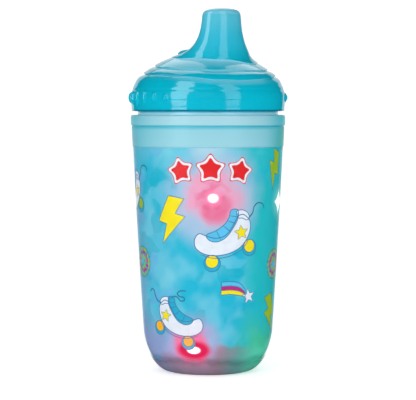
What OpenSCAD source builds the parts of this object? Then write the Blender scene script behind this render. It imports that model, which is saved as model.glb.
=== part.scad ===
// Insulated light-up sippy cup: a screw-on hard-spout lid with a pull-out silicone valve,
// a double-wall cup with a printed sleeve and LED strips in its cavity, and a push-button
// light module under the floor. Millimetres, +Z up, origin at the centre of the foot,
// spout towards -Y.

/* [Body] */
// Height of the cup body to the top of its collar
body_h = 126.7; // [126:0.1:128]
// Outside radius of the straight wall at its foot end, before the corner is rounded
base_r = 30.76; // [30.5:0.01:31]
// Outside radius of the collar
collar_r = 38.1; // [38:0.1:38.4]
// Height of the collar band
collar_h = 5.2; // [4:0.1:6]
// Wall thickness of the outer shell
shell_t = 1.2; // [1.1:0.1:1.6]
// Distance from the outside of the shell to the outside of the inner cup
liner_gap = 3.9; // [3.8:0.1:4.2]
// Wall thickness of the inner cup
liner_t = 1.5; // [1.2:0.1:1.8]
// Turn of the printed front away from the spout
front_turn = -26; // [-40:1:0]

/* [Neck and thread] */
// Outside radius of the neck
neck_r = 34.6; // [34.4:0.1:34.8]
// Bore radius of the neck
neck_bore_r = 32.4; // [32:0.1:32.6]
// Height of the neck rim above the foot
neck_top = 139; // [138.6:0.1:139]
// Lead of the two-start thread, which is its rise per turn
lead = 8; // [7.6:0.1:8]
// Length of each neck thread, in degrees
neck_sweep = 280; // [240:10:290]
// Length of each lid thread, in degrees
lid_sweep = 200; // [120:10:200]
// Depth of each thread
thread_d = 1.2; // [1:0.1:1.2]

/* [Lid] */
// Height of the lid's lower edge
lid_z = 128.5; // [128.2:0.1:129]
// Radius inside the skirt
skirt_in = 36.2; // [36.1:0.1:36.4]
// Thickness of the lid seal
seal_t = 1.2; // [1:0.1:1.2]
// Number of grip ribs on each side
rib_n = 7; // [3:2:7]
// Diameter of each drinking hole
drink_hole = 2; // [1.2:0.1:2.4]

/* [Valve] */
// Bore radius of the drinking socket
drink_r = 8.4; // [8:0.1:8.4]
// Bore radius of the air-vent socket
vent_r = 4.5; // [4:0.1:4.5]
// Distance of each socket from the cup's axis
socket_y = 13.5; // [13.2:0.1:13.8]
// Radial clearance between a valve plug and its socket
plug_gap = 0.05; // [0.02:0.01:0.1]

/* [Light module] */
// Radius of the opening under the cup
opening_r = 14.5; // [14:0.1:15]
// Radius of the recess that holds the base cap
recess_r = 17.6; // [17.4:0.1:18]
// Radius of the push button's face
button_r = 6.5; // [5:0.1:7]
// Travel of the push button
button_travel = 1.2; // [0.6:0.1:1.2]
// Radius of the circuit board
pcb_r = 25.4; // [24:0.1:25.6]
// Radius of one button cell
cell_r = 10; // [8:0.1:10]
// Thickness of one button cell
cell_h = 3.2; // [2:0.1:3.2]

/* [Hidden] */
$fn = 96;

corner_h = 21.3;      // height of the rounded foot corner
corner_in = 12.2;     // how far that corner turns in
recess_z = 3.7;       // ceiling of the base recess
floor_z = 5.2;        // floor of the cavity between the walls
liner_z = 18.5;       // underside of the inner cup
ceiling_z = neck_top + seal_t;
tray_z = floor_z + 0.05;
pcb_z = 11;           // underside of the circuit board
pcb_t = 1.2;
cap_z = 0.9;          // the base cap's face, clear of the ground
cap_t = 2;
flange_z = cap_z + cap_t + 0.05;  // the button's flange, above the cap
boss_y = 11.8;        // radius of the screw circle
front_az = front_turn - 90;

function lerp(a, b, t) = a + (b - a) * t;
// Outside of the body, its inner side, and the two sides of the inner cup
function wall_r(z) = base_r + 8.5 * (z / 122) - 1.48 * pow(z / 122, 2);
function corner(z, h, r) = z < h ? r * (1 - sqrt(max(0, 1 - pow((h - z) / h, 2)))) : 0;
function out_r(z) = wall_r(z) - corner(z, corner_h, corner_in);
function in_r(z) = wall_r(z) - shell_t - (z < corner_h ? (corner_in - 0.2) * (1 - sqrt(max(0, 1 - pow((corner_h - z) / (corner_h - 1.6), 2)))) : 0);
function liner_out(z) = wall_r(z) - liner_gap - corner(z - liner_z, 13.5, 11);
function liner_in(z) = wall_r(z) - liner_gap - liner_t - corner(z - liner_z - liner_t, 12, 11);

shell_zs = [0.5, 1.2, 2, 3, 4.2, 5.6, 7.4, 9.6, 12.4, 16, 21.3, 30, 42, 56, 70, 84, 98, 110];
in_zs = [116, 104, 90, 76, 62, 48, 34, 26, 21.3, 17, 13.4, 10.4, 8, 6, 4.6, 3.4, 2.6, 2.1];
liner_zs = [18.5, 18.8, 19.4, 20.4, 21.8, 23.6, 26, 29, 32, 42, 56, 70, 84, 98, 110, 122];
liner_in_zs = [120, 108, 96, 82, 68, 54, 42, 32, 28.4, 25.4, 23.4, 21.9, 20.9, 20.3, 20];

// One thread ridge: a tapered bar on a helix, from angle a0, standing from r0 to r1
module ridge(r0, r1, z0, a0, sweep) {
    n = round(sweep / 8);
    s = r1 > r0 ? 1 : -1;
    function pts(i) =
        let (t = i / n, a = a0 + sweep * t, z = z0 + lead * sweep * t / 360,
             k = min(1, 0.25 + 0.75 * min(i, n - i) / 2), r2 = r0 + (r1 - r0) * k, ra = r0 - s * 0.4)
        [[ra * cos(a), ra * sin(a), z - 1], [r2 * cos(a), r2 * sin(a), z - 0.5],
         [r2 * cos(a), r2 * sin(a), z + 0.5], [ra * cos(a), ra * sin(a), z + 1]];
    p = [for (i = [0:n]) each pts(i)];
    side = [for (i = [0:n - 1], j = [0:3])
        let (a = 4 * i + j, b = 4 * i + (j + 1) % 4) each [[a, b, b + 4], [a, b + 4, a + 4]]];
    caps = [[3, 2, 1, 0], [4 * n, 4 * n + 1, 4 * n + 2, 4 * n + 3]];
    f = concat(side, caps);
    polyhedron(p, s < 0 ? [for (q = f) [for (i = [len(q) - 1:-1:0]) q[i]]] : f);
}

// A solid through rings of [height, tilt, centre y, half width x, half depth y]
module ring_loft(rings, n) {
    m = len(rings);
    p = [for (r = rings, i = [0:n - 1])
        let (a = 360 * i / n) [r[3] * cos(a), r[2] + r[4] * sin(a), r[0] + r[1] * sin(a)]];
    side = [for (k = [0:m - 2], i = [0:n - 1])
        let (a = k * n + i, b = k * n + (i + 1) % n) each [[a, a + n, b + n], [a, b + n, b]]];
    polyhedron(p, concat(side, [[for (i = [0:n - 1]) i], [for (i = [n - 1:-1:0]) (m - 1) * n + i]]));
}

/* Lid */
dome_rings = [
    [140.5, 0, 0, 36.5, 36.5], [142.6, 0.4, -0.2, 35.95, 35.95], [144.2, 0.9, -0.5, 35, 35],
    [145.6, 1.4, -0.8, 34, 34], [146.6, 1.7, -1, 33, 33], [147.1, 1.8, -1.1, 32.2, 32.2],
    [147.7, 1.5, -0.9, 31.6, 31.6], [148.6, 0.8, -0.5, 30.7, 30.7], [149.1, 0.5, -0.3, 30, 30],
    [149.5, 0.4, -0.3, 29.3, 29.3], [150.4, 0.3, -0.3, 28.6, 28.6], [151.6, 0.1, -0.3, 27.2, 27.2],
    [152.8, 0, -0.4, 25.5, 25.5], [153.9, 0, -1, 23.6, 23.7], [154.8, 0, -2.1, 21.6, 21.9],
    [155.5, 0, -3.95, 19.8, 19.75], [156.1, 0, -6.45, 18.4, 17.05], [156.8, 0, -9.05, 17.1, 14.25],
    [157.8, 0, -10.9, 15.9, 12.2], [159.2, 0, -12.05, 14.7, 10.75], [161, 0, -13.05, 13.4, 9.55],
    [163.5, 0, -13.9, 12.2, 8.4], [166.5, 0, -14.5, 11.2, 7.5], [170, 0, -14.8, 10.5, 7],
    [173.5, 0, -15, 10.1, 6.7], [175.2, -0.3, -15, 9.9, 6.5], [176.4, -0.5, -15, 9.4, 6.1],
    [177.3, -0.6, -15, 8.5, 5.3], [177.8, -0.55, -15.05, 7.2, 4.1], [178.05, -0.4, -15.1, 5, 2.4]];
channel_rings = [
    [149.8, 0, -13.5, 8, 8], [157, 0, -13.8, 8.2, 7.2], [163, 0, -14.4, 8.1, 5.6],
    [169, 0, -14.9, 7.9, 4.9], [176, 0, -15, 7.6, 4.5]];

module skirt() {
    rotate_extrude() polygon([[0, lid_z], [37.5, lid_z], [37.8, lid_z + 0.4], [38, 131], [38.1, 134.2],
        [38, 137], [37.7, 138.2], [37.3, 138.5], [37.15, 139.4], [36.6, 141], [0, 141]]);
}

module lid_cavity() {
    rotate_extrude() polygon([[0, lid_z - 1], [skirt_in, lid_z - 1], [skirt_in, ceiling_z],
        [31.2, ceiling_z], [31.2, 141.6], [30.4, 144], [28.8, 146.6], [26.4, 149], [23, 151.3],
        [18.6, 153], [13, 153.9], [0, 154.2]]);
}

module seal_bead() {
    rotate_extrude() polygon([[35.7, 138.5], [36.5, 138], [36.5, 139], [35.75, 138.8]]);
}

module grip_ribs() {
    for (side = [0, 180], i = [0:rib_n - 1]) {
        k = abs(i - (rib_n - 1) / 2);
        h = [7.2, 6.4, 5, 3.4][min(3, k)];
        rotate([0, 0, side + 10.5 * (i - (rib_n - 1) / 2)]) translate([37.85, 0, 135.2]) union() {
            translate([0, 0, -h / 2 + 1]) cylinder(h = h - 2, r = 1.25, $fn = 24);
            translate([0, 0, h / 2 - 1]) cylinder(h = 1, r1 = 1.25, r2 = 0.5, $fn = 24);
            translate([0, 0, -h / 2]) cylinder(h = 1, r1 = 0.5, r2 = 1.25, $fn = 24);
        }
    }
}

module spout_lid() {
    color("darkturquoise") difference() {
        union() {
            difference() {
                union() {
                    skirt();
                    ring_loft(dome_rings, 56);
                    // raised boss round the air vent
                    translate([0, socket_y, 154]) rotate([-6.4, 0, 0]) cylinder(h = 3.8, r1 = 9, r2 = 7.4);
                    grip_ribs();
                }
                lid_cavity();
            }
            for (s = [0, 1]) ridge(skirt_in, neck_r + 0.4, neck_z + 1.1 - 1.7, neck_a0 + 180 * s + 49.5, lid_sweep);
            seal_bead();
            translate([0, -socket_y, 141]) cylinder(h = 13.5, r = drink_r + 1.4);
            translate([0, socket_y, 141]) cylinder(h = 13.5, r = vent_r + 1.4);
        }
        translate([0, -socket_y, 140]) cylinder(h = 10, r = drink_r);
        translate([0, socket_y, 140]) cylinder(h = 10, r = vent_r);
        translate([0, socket_y, 149]) cylinder(h = 12, r = 0.8);
        ring_loft(channel_rings, 24);
        for (x = [-4.6, 0, 4.6]) translate([x, -15, 174]) cylinder(h = 6, d = drink_hole);
    }
}

// The silicone valve: two slit plugs joined by a strap with a pull tab
module valve_plug(r, wall, y, h) {
    translate([0, y, 0]) difference() {
        union() {
            translate([0, 0, 139.4]) cylinder(h = 1.6, r = r + 1.4);
            translate([0, 0, 140.5]) cylinder(h = h - 0.5, r = r - plug_gap);
        }
        translate([0, 0, 139]) cylinder(h = h + 0.9, r = r - wall);
        translate([0, 0, 139]) for (a = [45, 135]) rotate([0, 0, a])
            translate([-(r - wall) * 0.6, -0.15, 0]) cube([(r - wall) * 1.2, 0.3, 20]);
    }
}

module flow_valve() {
    color("whitesmoke") {
        difference() {
            union() {
                valve_plug(drink_r, 1.8, -socket_y, 6);
                valve_plug(vent_r, 1.3, socket_y, 5);
                translate([-3.5, -5, 139.4]) cube([7, 13.6, 1.3]);
                translate([-2.4, 0.6, 134.8]) cube([4.8, 1.6, 5]);
            }
            translate([0, -socket_y, 139]) cylinder(h = 4, r = drink_r - 1.8);
            translate([0, socket_y, 139]) cylinder(h = 4, r = vent_r - 1.3);
        }
    }
}

module lid_seal() {
    color("white") rotate_extrude() polygon([[31.6, neck_top], [35.85, neck_top], [35.85, ceiling_z],
        [31.6, ceiling_z]]);
}

/* Cup */
neck_z = 130.5;      // centre of each neck thread where it starts
neck_a0 = 20;        // angle at which the first neck thread starts

module inner_cup() {
    color("darkturquoise") union() {
        rotate_extrude() polygon(concat(
            [[0, liner_z]], [for (z = liner_zs) [liner_out(z), z]],
            [[liner_out(122), body_h - 2.5], [collar_r - 1.3, body_h - 2.5], [collar_r - 1.3, body_h],
             [neck_r, body_h], [neck_r, neck_top - 0.3], [neck_r - 0.3, neck_top],
             [neck_bore_r + 0.4, neck_top], [neck_bore_r, neck_top - 0.4]],
            [for (z = liner_in_zs) [liner_in(z), z]], [[0, liner_z + liner_t]]));
        for (s = [0, 1]) ridge(neck_r, neck_r + thread_d, neck_z, neck_a0 + 180 * s, neck_sweep);
    }
}

module outer_shell() {
    color("paleturquoise") rotate_extrude() polygon(concat(
        [[recess_r, 0], [19.6, 0]], [for (z = shell_zs) [out_r(z), z]],
        [[collar_r - 0.5, body_h - collar_h], [collar_r - 0.1, body_h - collar_h + 0.2],
         [collar_r, body_h - collar_h + 0.6], [collar_r, body_h - 0.4], [collar_r - 0.4, body_h],
         [collar_r - 1.2, body_h], [collar_r - 1.2, body_h - 2.6], [in_r(122) - 0.05, body_h - 2.6]],
        [for (z = in_zs) [in_r(z), z]],
        [[19.2, 2.1], [19.2, floor_z], [opening_r, floor_z], [opening_r, recess_z],
         [recess_r, recess_z]]));
}

module print_sleeve() {
    zs = [15, 18, 21.3, 30, 42, 56, 70, 84, 98, 111.4];
    color("deepskyblue") rotate_extrude() polygon(concat(
        [for (z = zs) [in_r(z) - 0.1, z]], [for (i = [len(zs) - 1:-1:0]) [in_r(zs[i]) - 0.35, zs[i]]]));
}

/* Lights */
// A flexible strip that rises from the circuit board between the two walls, at one angle
module led_strip(az) {
    zs = [28, 32, 42, 56, 70, 84, 97];
    color("ivory") rotate([0, 0, az - 4.5]) rotate_extrude(angle = 9) polygon(concat(
        [[24.4, pcb_z + pcb_t], [26.4, pcb_z + pcb_t + 0.6], [27.9, 17]],
        [for (z = zs) [liner_out(z) + 0.45, z]],
        [for (i = [len(zs) - 1:-1:0]) [liner_out(zs[i]) + 0.15, zs[i]]],
        [[27.6, 17.1], [26.2, pcb_z + pcb_t + 0.95], [24.4, pcb_z + pcb_t + 0.3]]));
}

// One surface-mount LED that faces outwards: a square case with a round lens
module led(az, r, z) {
    rotate([0, 0, az]) translate([r, 0, z]) rotate([0, 90, 0]) {
        translate([-1.6, -1.4, 0]) cube([3.2, 2.8, 0.6]);
        translate([0, 0, 0.55]) cylinder(h = 0.45, r1 = 1.1, r2 = 0.7, $fn = 24);
    }
}

// One LED on the rim of the circuit board, facing outwards
module rim_led(az) {
    rotate([0, 0, az]) translate([23.4, 0, pcb_z + pcb_t]) {
        translate([0, -1.6, 0]) cube([1.6, 3.2, 2.2]);
        translate([1.55, 0, 1.1]) rotate([0, 90, 0]) cylinder(h = 0.8, r1 = 1, r2 = 0.6, $fn = 24);
    }
}

function strip_r(z) = liner_out(z) + 0.65;
strip_az = [front_az + 3, front_az + 93, front_az - 97];

module red_leds() {
    color("tomato") { led(strip_az[0], strip_r(87), 87); led(strip_az[1], strip_r(52), 52); rim_led(front_az - 14); }
}
module green_leds() {
    color("springgreen") { led(strip_az[1], strip_r(86), 86); led(strip_az[2], strip_r(60), 60); rim_led(front_az + 76); }
}
module blue_leds() {
    color("royalblue") { led(strip_az[0], strip_r(45), 45); led(strip_az[2], strip_r(92), 92); rim_led(front_az + 166); }
}

module circuit_board() {
    color("darkgreen") translate([0, 0, pcb_z]) difference() {
        cylinder(h = pcb_t, r = pcb_r);
        for (a = [90, 210, 330]) rotate([0, 0, a]) translate([boss_y + 6, 0, -1]) cylinder(h = 4, r = 1.05, $fn = 32);
    }
}

module controller_chip() {
    color("dimgray") translate([-3, 9.6, pcb_z + pcb_t]) {
        cube([6, 4, 1.5]);
        for (x = [0.6:1.3:5], y = [-0.9, 3.95]) translate([x, y, 0]) cube([0.5, 0.95, 0.35]);
    }
}

module chip_resistors() {
    color("tan") for (p = [[-5, -15], [-2, -15], [1, -15], [4, -15], [-2, -18], [1, -18], [-7, 16], [6, 16]])
        translate([p[0], p[1], pcb_z + pcb_t]) cube([1.6, 0.8, 0.6]);
}

module switch_body() {
    color("gray") translate([-3, -3, pcb_z - 3.4]) difference() {
        cube([6, 6, 3.4]);
        translate([3, 3, -1]) cylinder(h = 3, r = 1.8, $fn = 32);
    }
}

module switch_plunger() {
    color("black") translate([0, 0, 6]) cylinder(h = 2.2, r = 1.6, $fn = 32);
}

module button_cells() {
    color("silver") for (s = [-1, 1]) translate([s * 10.3, 0, pcb_z + pcb_t + 0.35]) {
        cylinder(h = 0.5, r = cell_r - 1.2);
        translate([0, 0, 0.5]) cylinder(h = cell_h - 0.5, r = cell_r);
    }
}

module cell_pads() {
    color("gold") for (s = [-1, 1]) translate([s * 10.3, 0, pcb_z + pcb_t]) cylinder(h = 0.35, r = 5);
}

module cell_clips() {
    z0 = pcb_z + pcb_t;
    top = z0 + 0.35 + cell_h;
    color("lightgray") for (s = [-1, 1]) translate([s * 10.3, 0, 0]) {
        translate([-2.2, -10.9, top]) cube([4.4, 21.8, 0.4]);
        for (y = [-10.9, 10.5]) translate([-2.2, y, z0]) cube([4.4, 0.4, top - z0 + 0.1]);
    }
}

module module_cover() {
    z0 = pcb_z + pcb_t;
    color("gainsboro") difference() {
        rotate_extrude() polygon([[0, z0 + 5.2], [20.6, z0 + 5.2], [22.2, z0 + 4.4], [22.6, z0],
            [21.6, z0], [21.3, z0 + 3.9], [20.3, z0 + 4.3], [0, z0 + 4.3]]);
        for (a = strip_az) rotate([0, 0, a]) translate([20, -2.4, z0 - 1]) cube([4, 4.8, 1.6]);
    }
}

module module_tray() {
    color("gainsboro") difference() {
        union() {
            translate([0, 0, tray_z]) cylinder(h = 1.4, r = 22);
            rotate_extrude() polygon([[20.4, tray_z], [22, tray_z], [22, pcb_z], [20.4, pcb_z]]);
            for (a = [90, 210, 330]) rotate([0, 0, a]) {
                translate([boss_y, 0, flange_z - 0.05]) cylinder(h = pcb_z - flange_z + 0.05, r = 2.3, $fn = 32);
                translate([boss_y + 6, 0, tray_z]) cylinder(h = pcb_z - tray_z, r = 1.9, $fn = 32);
                translate([boss_y + 6, 0, pcb_z - 1]) cylinder(h = 1 + pcb_t + 0.6, r = 0.95, $fn = 32);
            }
        }
        translate([0, 0, 0]) cylinder(h = 10, r = 8.6);
        for (a = [90, 210, 330]) rotate([0, 0, a]) translate([boss_y, 0, 0]) cylinder(h = 9.5, r = 0.85, $fn = 32);
    }
}

/* Base */
module light_button() {
    color("deeppink") {
        rotate_extrude() polygon([[0, cap_z + 0.2], [button_r - 0.5, cap_z + 0.2], [button_r, cap_z + 0.6],
            [button_r, flange_z], [button_r + 1.6, flange_z], [button_r + 1.6, flange_z + 0.8],
            [2.2, flange_z + 0.8], [2.2, 6], [0, 6]]);
    }
}

// The return spring, round the switch: it sits on the button's flange and pushes on the board
module button_spring() {
    n = 72; turns = 4; m = 6; rw = 0.25; rc = 4.75;
    z0 = flange_z + 0.8 + rw + 0.02; z1 = pcb_z - rw - 0.02;
    p = [for (i = [0:n], j = [0:m - 1])
        let (t = i / n, a = 360 * turns * t, z = lerp(z0, z1, t), b = 360 * j / m, r = rc + rw * cos(b))
        [r * cos(a), r * sin(a), z + rw * sin(b)]];
    side = [for (i = [0:n - 1], j = [0:m - 1])
        let (a = m * i + j, b = m * i + (j + 1) % m) each [[a, b, b + m], [a, b + m, a + m]]];
    caps = [[for (j = [m - 1:-1:0]) j], [for (j = [0:m - 1]) m * n + j]];
    color("silver") polyhedron(p, concat(side, caps));
}

module base_cap() {
    color("darkturquoise") difference() {
        rotate_extrude() polygon([[button_r + 0.3, cap_z + 0.3], [button_r + 0.6, cap_z], [16.8, cap_z],
            [17.3, cap_z + 0.5], [17.3, cap_z + cap_t], [button_r + 0.3, cap_z + cap_t]]);
        for (a = [90, 210, 330]) rotate([0, 0, a]) translate([boss_y, 0, 0]) {
            cylinder(h = 5, r = 1.4, $fn = 32);
            cylinder(h = cap_z + 1.25, r = 2.4, $fn = 32);
        }
    }
}

module base_gasket() {
    color("white") rotate_extrude() polygon([[14.7, cap_z + cap_t], [17.1, cap_z + cap_t], [17.1, recess_z], [14.7, recess_z]]);
}

module base_screws() {
    color("silver") for (a = [90, 210, 330]) rotate([0, 0, a]) translate([boss_y, 0, 0]) difference() {
        union() {
            translate([0, 0, cap_z + 0.25]) cylinder(h = 1, r = 2.1, $fn = 32);
            translate([0, 0, cap_z + 1]) cylinder(h = 6.5, r = 0.95, $fn = 32);
        }
        for (b = [0, 90]) rotate([0, 0, b]) translate([-1.2, -0.25, 0]) cube([2.4, 0.5, cap_z + 0.8]);
    }
}

spout_lid();
flow_valve();
lid_seal();
inner_cup();
outer_shell();
print_sleeve();
led_strip(strip_az[0]);  // led_strip_front
led_strip(strip_az[1]);  // led_strip_right
led_strip(strip_az[2]);  // led_strip_left
red_leds();
green_leds();
blue_leds();
circuit_board();
controller_chip();
chip_resistors();
switch_body();
switch_plunger();
button_cells();
cell_clips();
cell_pads();
module_cover();
module_tray();
light_button();
button_spring();
base_cap();
base_gasket();
base_screws();
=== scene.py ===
import math

import bmesh
import bpy
import numpy as np
from mathutils import Matrix, Vector
from mathutils.geometry import delaunay_2d_cdt


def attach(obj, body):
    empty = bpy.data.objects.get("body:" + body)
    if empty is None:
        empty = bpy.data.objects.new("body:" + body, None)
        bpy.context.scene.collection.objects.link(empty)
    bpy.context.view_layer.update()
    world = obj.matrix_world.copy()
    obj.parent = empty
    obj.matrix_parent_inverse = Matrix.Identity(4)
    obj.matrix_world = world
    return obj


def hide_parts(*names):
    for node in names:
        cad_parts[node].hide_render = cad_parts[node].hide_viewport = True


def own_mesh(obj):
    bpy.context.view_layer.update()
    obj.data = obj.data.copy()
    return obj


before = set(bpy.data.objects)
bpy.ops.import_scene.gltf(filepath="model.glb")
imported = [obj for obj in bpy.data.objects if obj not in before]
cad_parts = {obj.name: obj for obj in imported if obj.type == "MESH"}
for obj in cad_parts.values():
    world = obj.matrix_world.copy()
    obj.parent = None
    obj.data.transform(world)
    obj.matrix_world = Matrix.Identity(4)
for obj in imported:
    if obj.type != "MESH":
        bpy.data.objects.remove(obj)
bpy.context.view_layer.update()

MM = 0.001
rng = np.random.default_rng(7)
scene = bpy.context.scene

# ---------------------------------------------------------------- directions
# phi is the angle round the cup measured from the printed front, positive to its right
FRONT = np.array([-0.438371, -0.898794])
RIGHT = np.array([0.898794, -0.438371])


def around(phi_deg, r):
    a = np.radians(phi_deg)
    return (np.cos(a)[..., None] * FRONT + np.sin(a)[..., None] * RIGHT) * np.asarray(r)[..., None]


# ---------------------------------------------------------------- mesh helpers
def build(name, verts, faces, mat, body, slot=None, swaps=(), angle=35.0, recalc=True):
    """A closed mesh from millimetre points, riding on a CAD body."""
    me = bpy.data.meshes.new(name)
    me.from_pydata((np.asarray(verts, float) * MM).tolist(), [], faces)
    me.update()
    if recalc:
        bm = bmesh.new()
        bm.from_mesh(me)
        bmesh.ops.recalc_face_normals(bm, faces=bm.faces)
        bm.to_mesh(me)
        bm.free()
    me.polygons.foreach_set("use_smooth", np.ones(len(me.polygons), bool))
    me.set_sharp_from_angle(angle=math.radians(angle))
    me.update()
    ob = bpy.data.objects.new(name, me)
    scene.collection.objects.link(ob)
    me.materials.append(mat)
    if body:
        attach(ob, body)
    if swaps:
        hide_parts(*swaps)
    return ob


def soften(points, radius, steps=4, closed=True, corner=20.0):
    """Rounds the corners of a 2-D line. radius is one number or one for each point."""
    p = [np.array(q[:2], float) for q in points]
    n = len(p)
    rr = [radius] * n if np.isscalar(radius) else list(radius)
    out = []
    for i in range(n):
        if not closed and i in (0, n - 1):
            out.append(p[i])
            continue
        a, b, c = p[i - 1], p[i], p[(i + 1) % n]
        u, v = a - b, c - b
        lu, lv = np.linalg.norm(u), np.linalg.norm(v)
        turn = math.degrees(math.acos(max(-1, min(1, float(-(u @ v) / (lu * lv))))))
        r = min(rr[i], 0.45 * lu, 0.45 * lv)
        if turn < corner or r < 1e-3:
            out.append(b)
            continue
        s, e = b + u / lu * r, b + v / lv * r
        for k in range(steps + 1):
            t = k / steps
            out.append(s * (1 - t) ** 2 + 2 * b * t * (1 - t) + e * t * t)
    return out


def revolve_data(profile, n=192, offset=(0, 0, 0)):
    """Vertices and faces of a closed profile turned about Z. Points on the axis become poles."""
    verts, rows = [], []
    th = np.arange(n) * 2 * np.pi / n
    for r, z in profile:
        if r < 1e-6:
            rows.append([len(verts)])
            verts.append((0, 0, z))
        else:
            rows.append(list(range(len(verts), len(verts) + n)))
            verts.extend(zip(r * np.cos(th), r * np.sin(th), np.full(n, z)))
    faces = []
    for k in range(len(rows)):
        a, b = rows[k], rows[(k + 1) % len(rows)]
        if len(a) == 1 and len(b) == 1:
            continue
        for i in range(n):
            j = (i + 1) % n
            if len(a) == 1:
                faces.append((a[0], b[j], b[i]))
            elif len(b) == 1:
                faces.append((a[i], a[j], b[0]))
            else:
                faces.append((a[i], a[j], b[j], b[i]))
    v = np.array(verts, float) + np.array(offset, float)
    return v, faces


def merge(parts):
    verts, faces, base = [], [], 0
    for v, f in parts:
        verts.append(np.asarray(v, float))
        faces.extend([tuple(i + base for i in q) for q in f])
        base += len(v)
    return np.vstack(verts), faces


def pchip(x, y, q):
    """Monotone cubic through the points."""
    x, y, q = np.asarray(x, float), np.asarray(y, float), np.asarray(q, float)
    h = np.diff(x)
    d = np.diff(y) / h
    m = np.zeros(len(x))
    for i in range(1, len(x) - 1):
        if d[i - 1] * d[i] > 0:
            w1, w2 = 2 * h[i] + h[i - 1], h[i] + 2 * h[i - 1]
            m[i] = (w1 + w2) / (w1 / d[i - 1] + w2 / d[i])
    m[0], m[-1] = d[0], d[-1]
    k = np.clip(np.searchsorted(x, q) - 1, 0, len(x) - 2)
    t = np.clip((q - x[k]) / h[k], 0, 1)
    return (y[k] * (1 + 2 * t) * (1 - t) ** 2 + m[k] * h[k] * t * (1 - t) ** 2
            + y[k + 1] * t * t * (3 - 2 * t) + m[k + 1] * h[k] * t * t * (t - 1))


def smooth01(t):
    t = np.clip(t, 0, 1)
    return t * t * (3 - 2 * t)


# ---------------------------------------------------------------- the CAD's own wall lines
SHELL_T, SKIN, GAP, LINER_T = 1.2, 0.25, 3.9, 1.5


def wall_r(z):
    return 30.76 + 8.5 * (z / 122) - 1.48 * (z / 122) ** 2


def turn_in(z, h, r):
    z = np.asarray(z, float)
    t = np.clip((h - z) / h, 0, 1)
    return np.where(z < h, r * (1 - np.sqrt(np.clip(1 - t * t, 0, 1))), 0.0)


def out_r(z):
    return wall_r(z) - turn_in(z, 21.3, 12.2)


def in_r(z):
    z = np.asarray(z, float)
    t = np.clip((21.3 - z) / 19.7, 0, 1)
    return wall_r(z) - SKIN - np.where(z < 21.3, 12.0 * (1 - np.sqrt(np.clip(1 - t * t, 0, 1))), 0.0)


def film_r(z):
    return in_r(z) - 0.1


def liner_out(z):
    return wall_r(z) - GAP - turn_in(np.asarray(z, float) - 18.5, 13.5, 11)


def liner_in(z):
    return wall_r(z) - GAP - LINER_T - turn_in(np.asarray(z, float) - 20.0, 12, 11)


# ---------------------------------------------------------------- material helper
def srgb(r, g, b, a=1.0):
    def f(c):
        c /= 255.0
        return c / 12.92 if c <= 0.04045 else ((c + 0.055) / 1.055) ** 2.4
    return (f(r), f(g), f(b), a)


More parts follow.
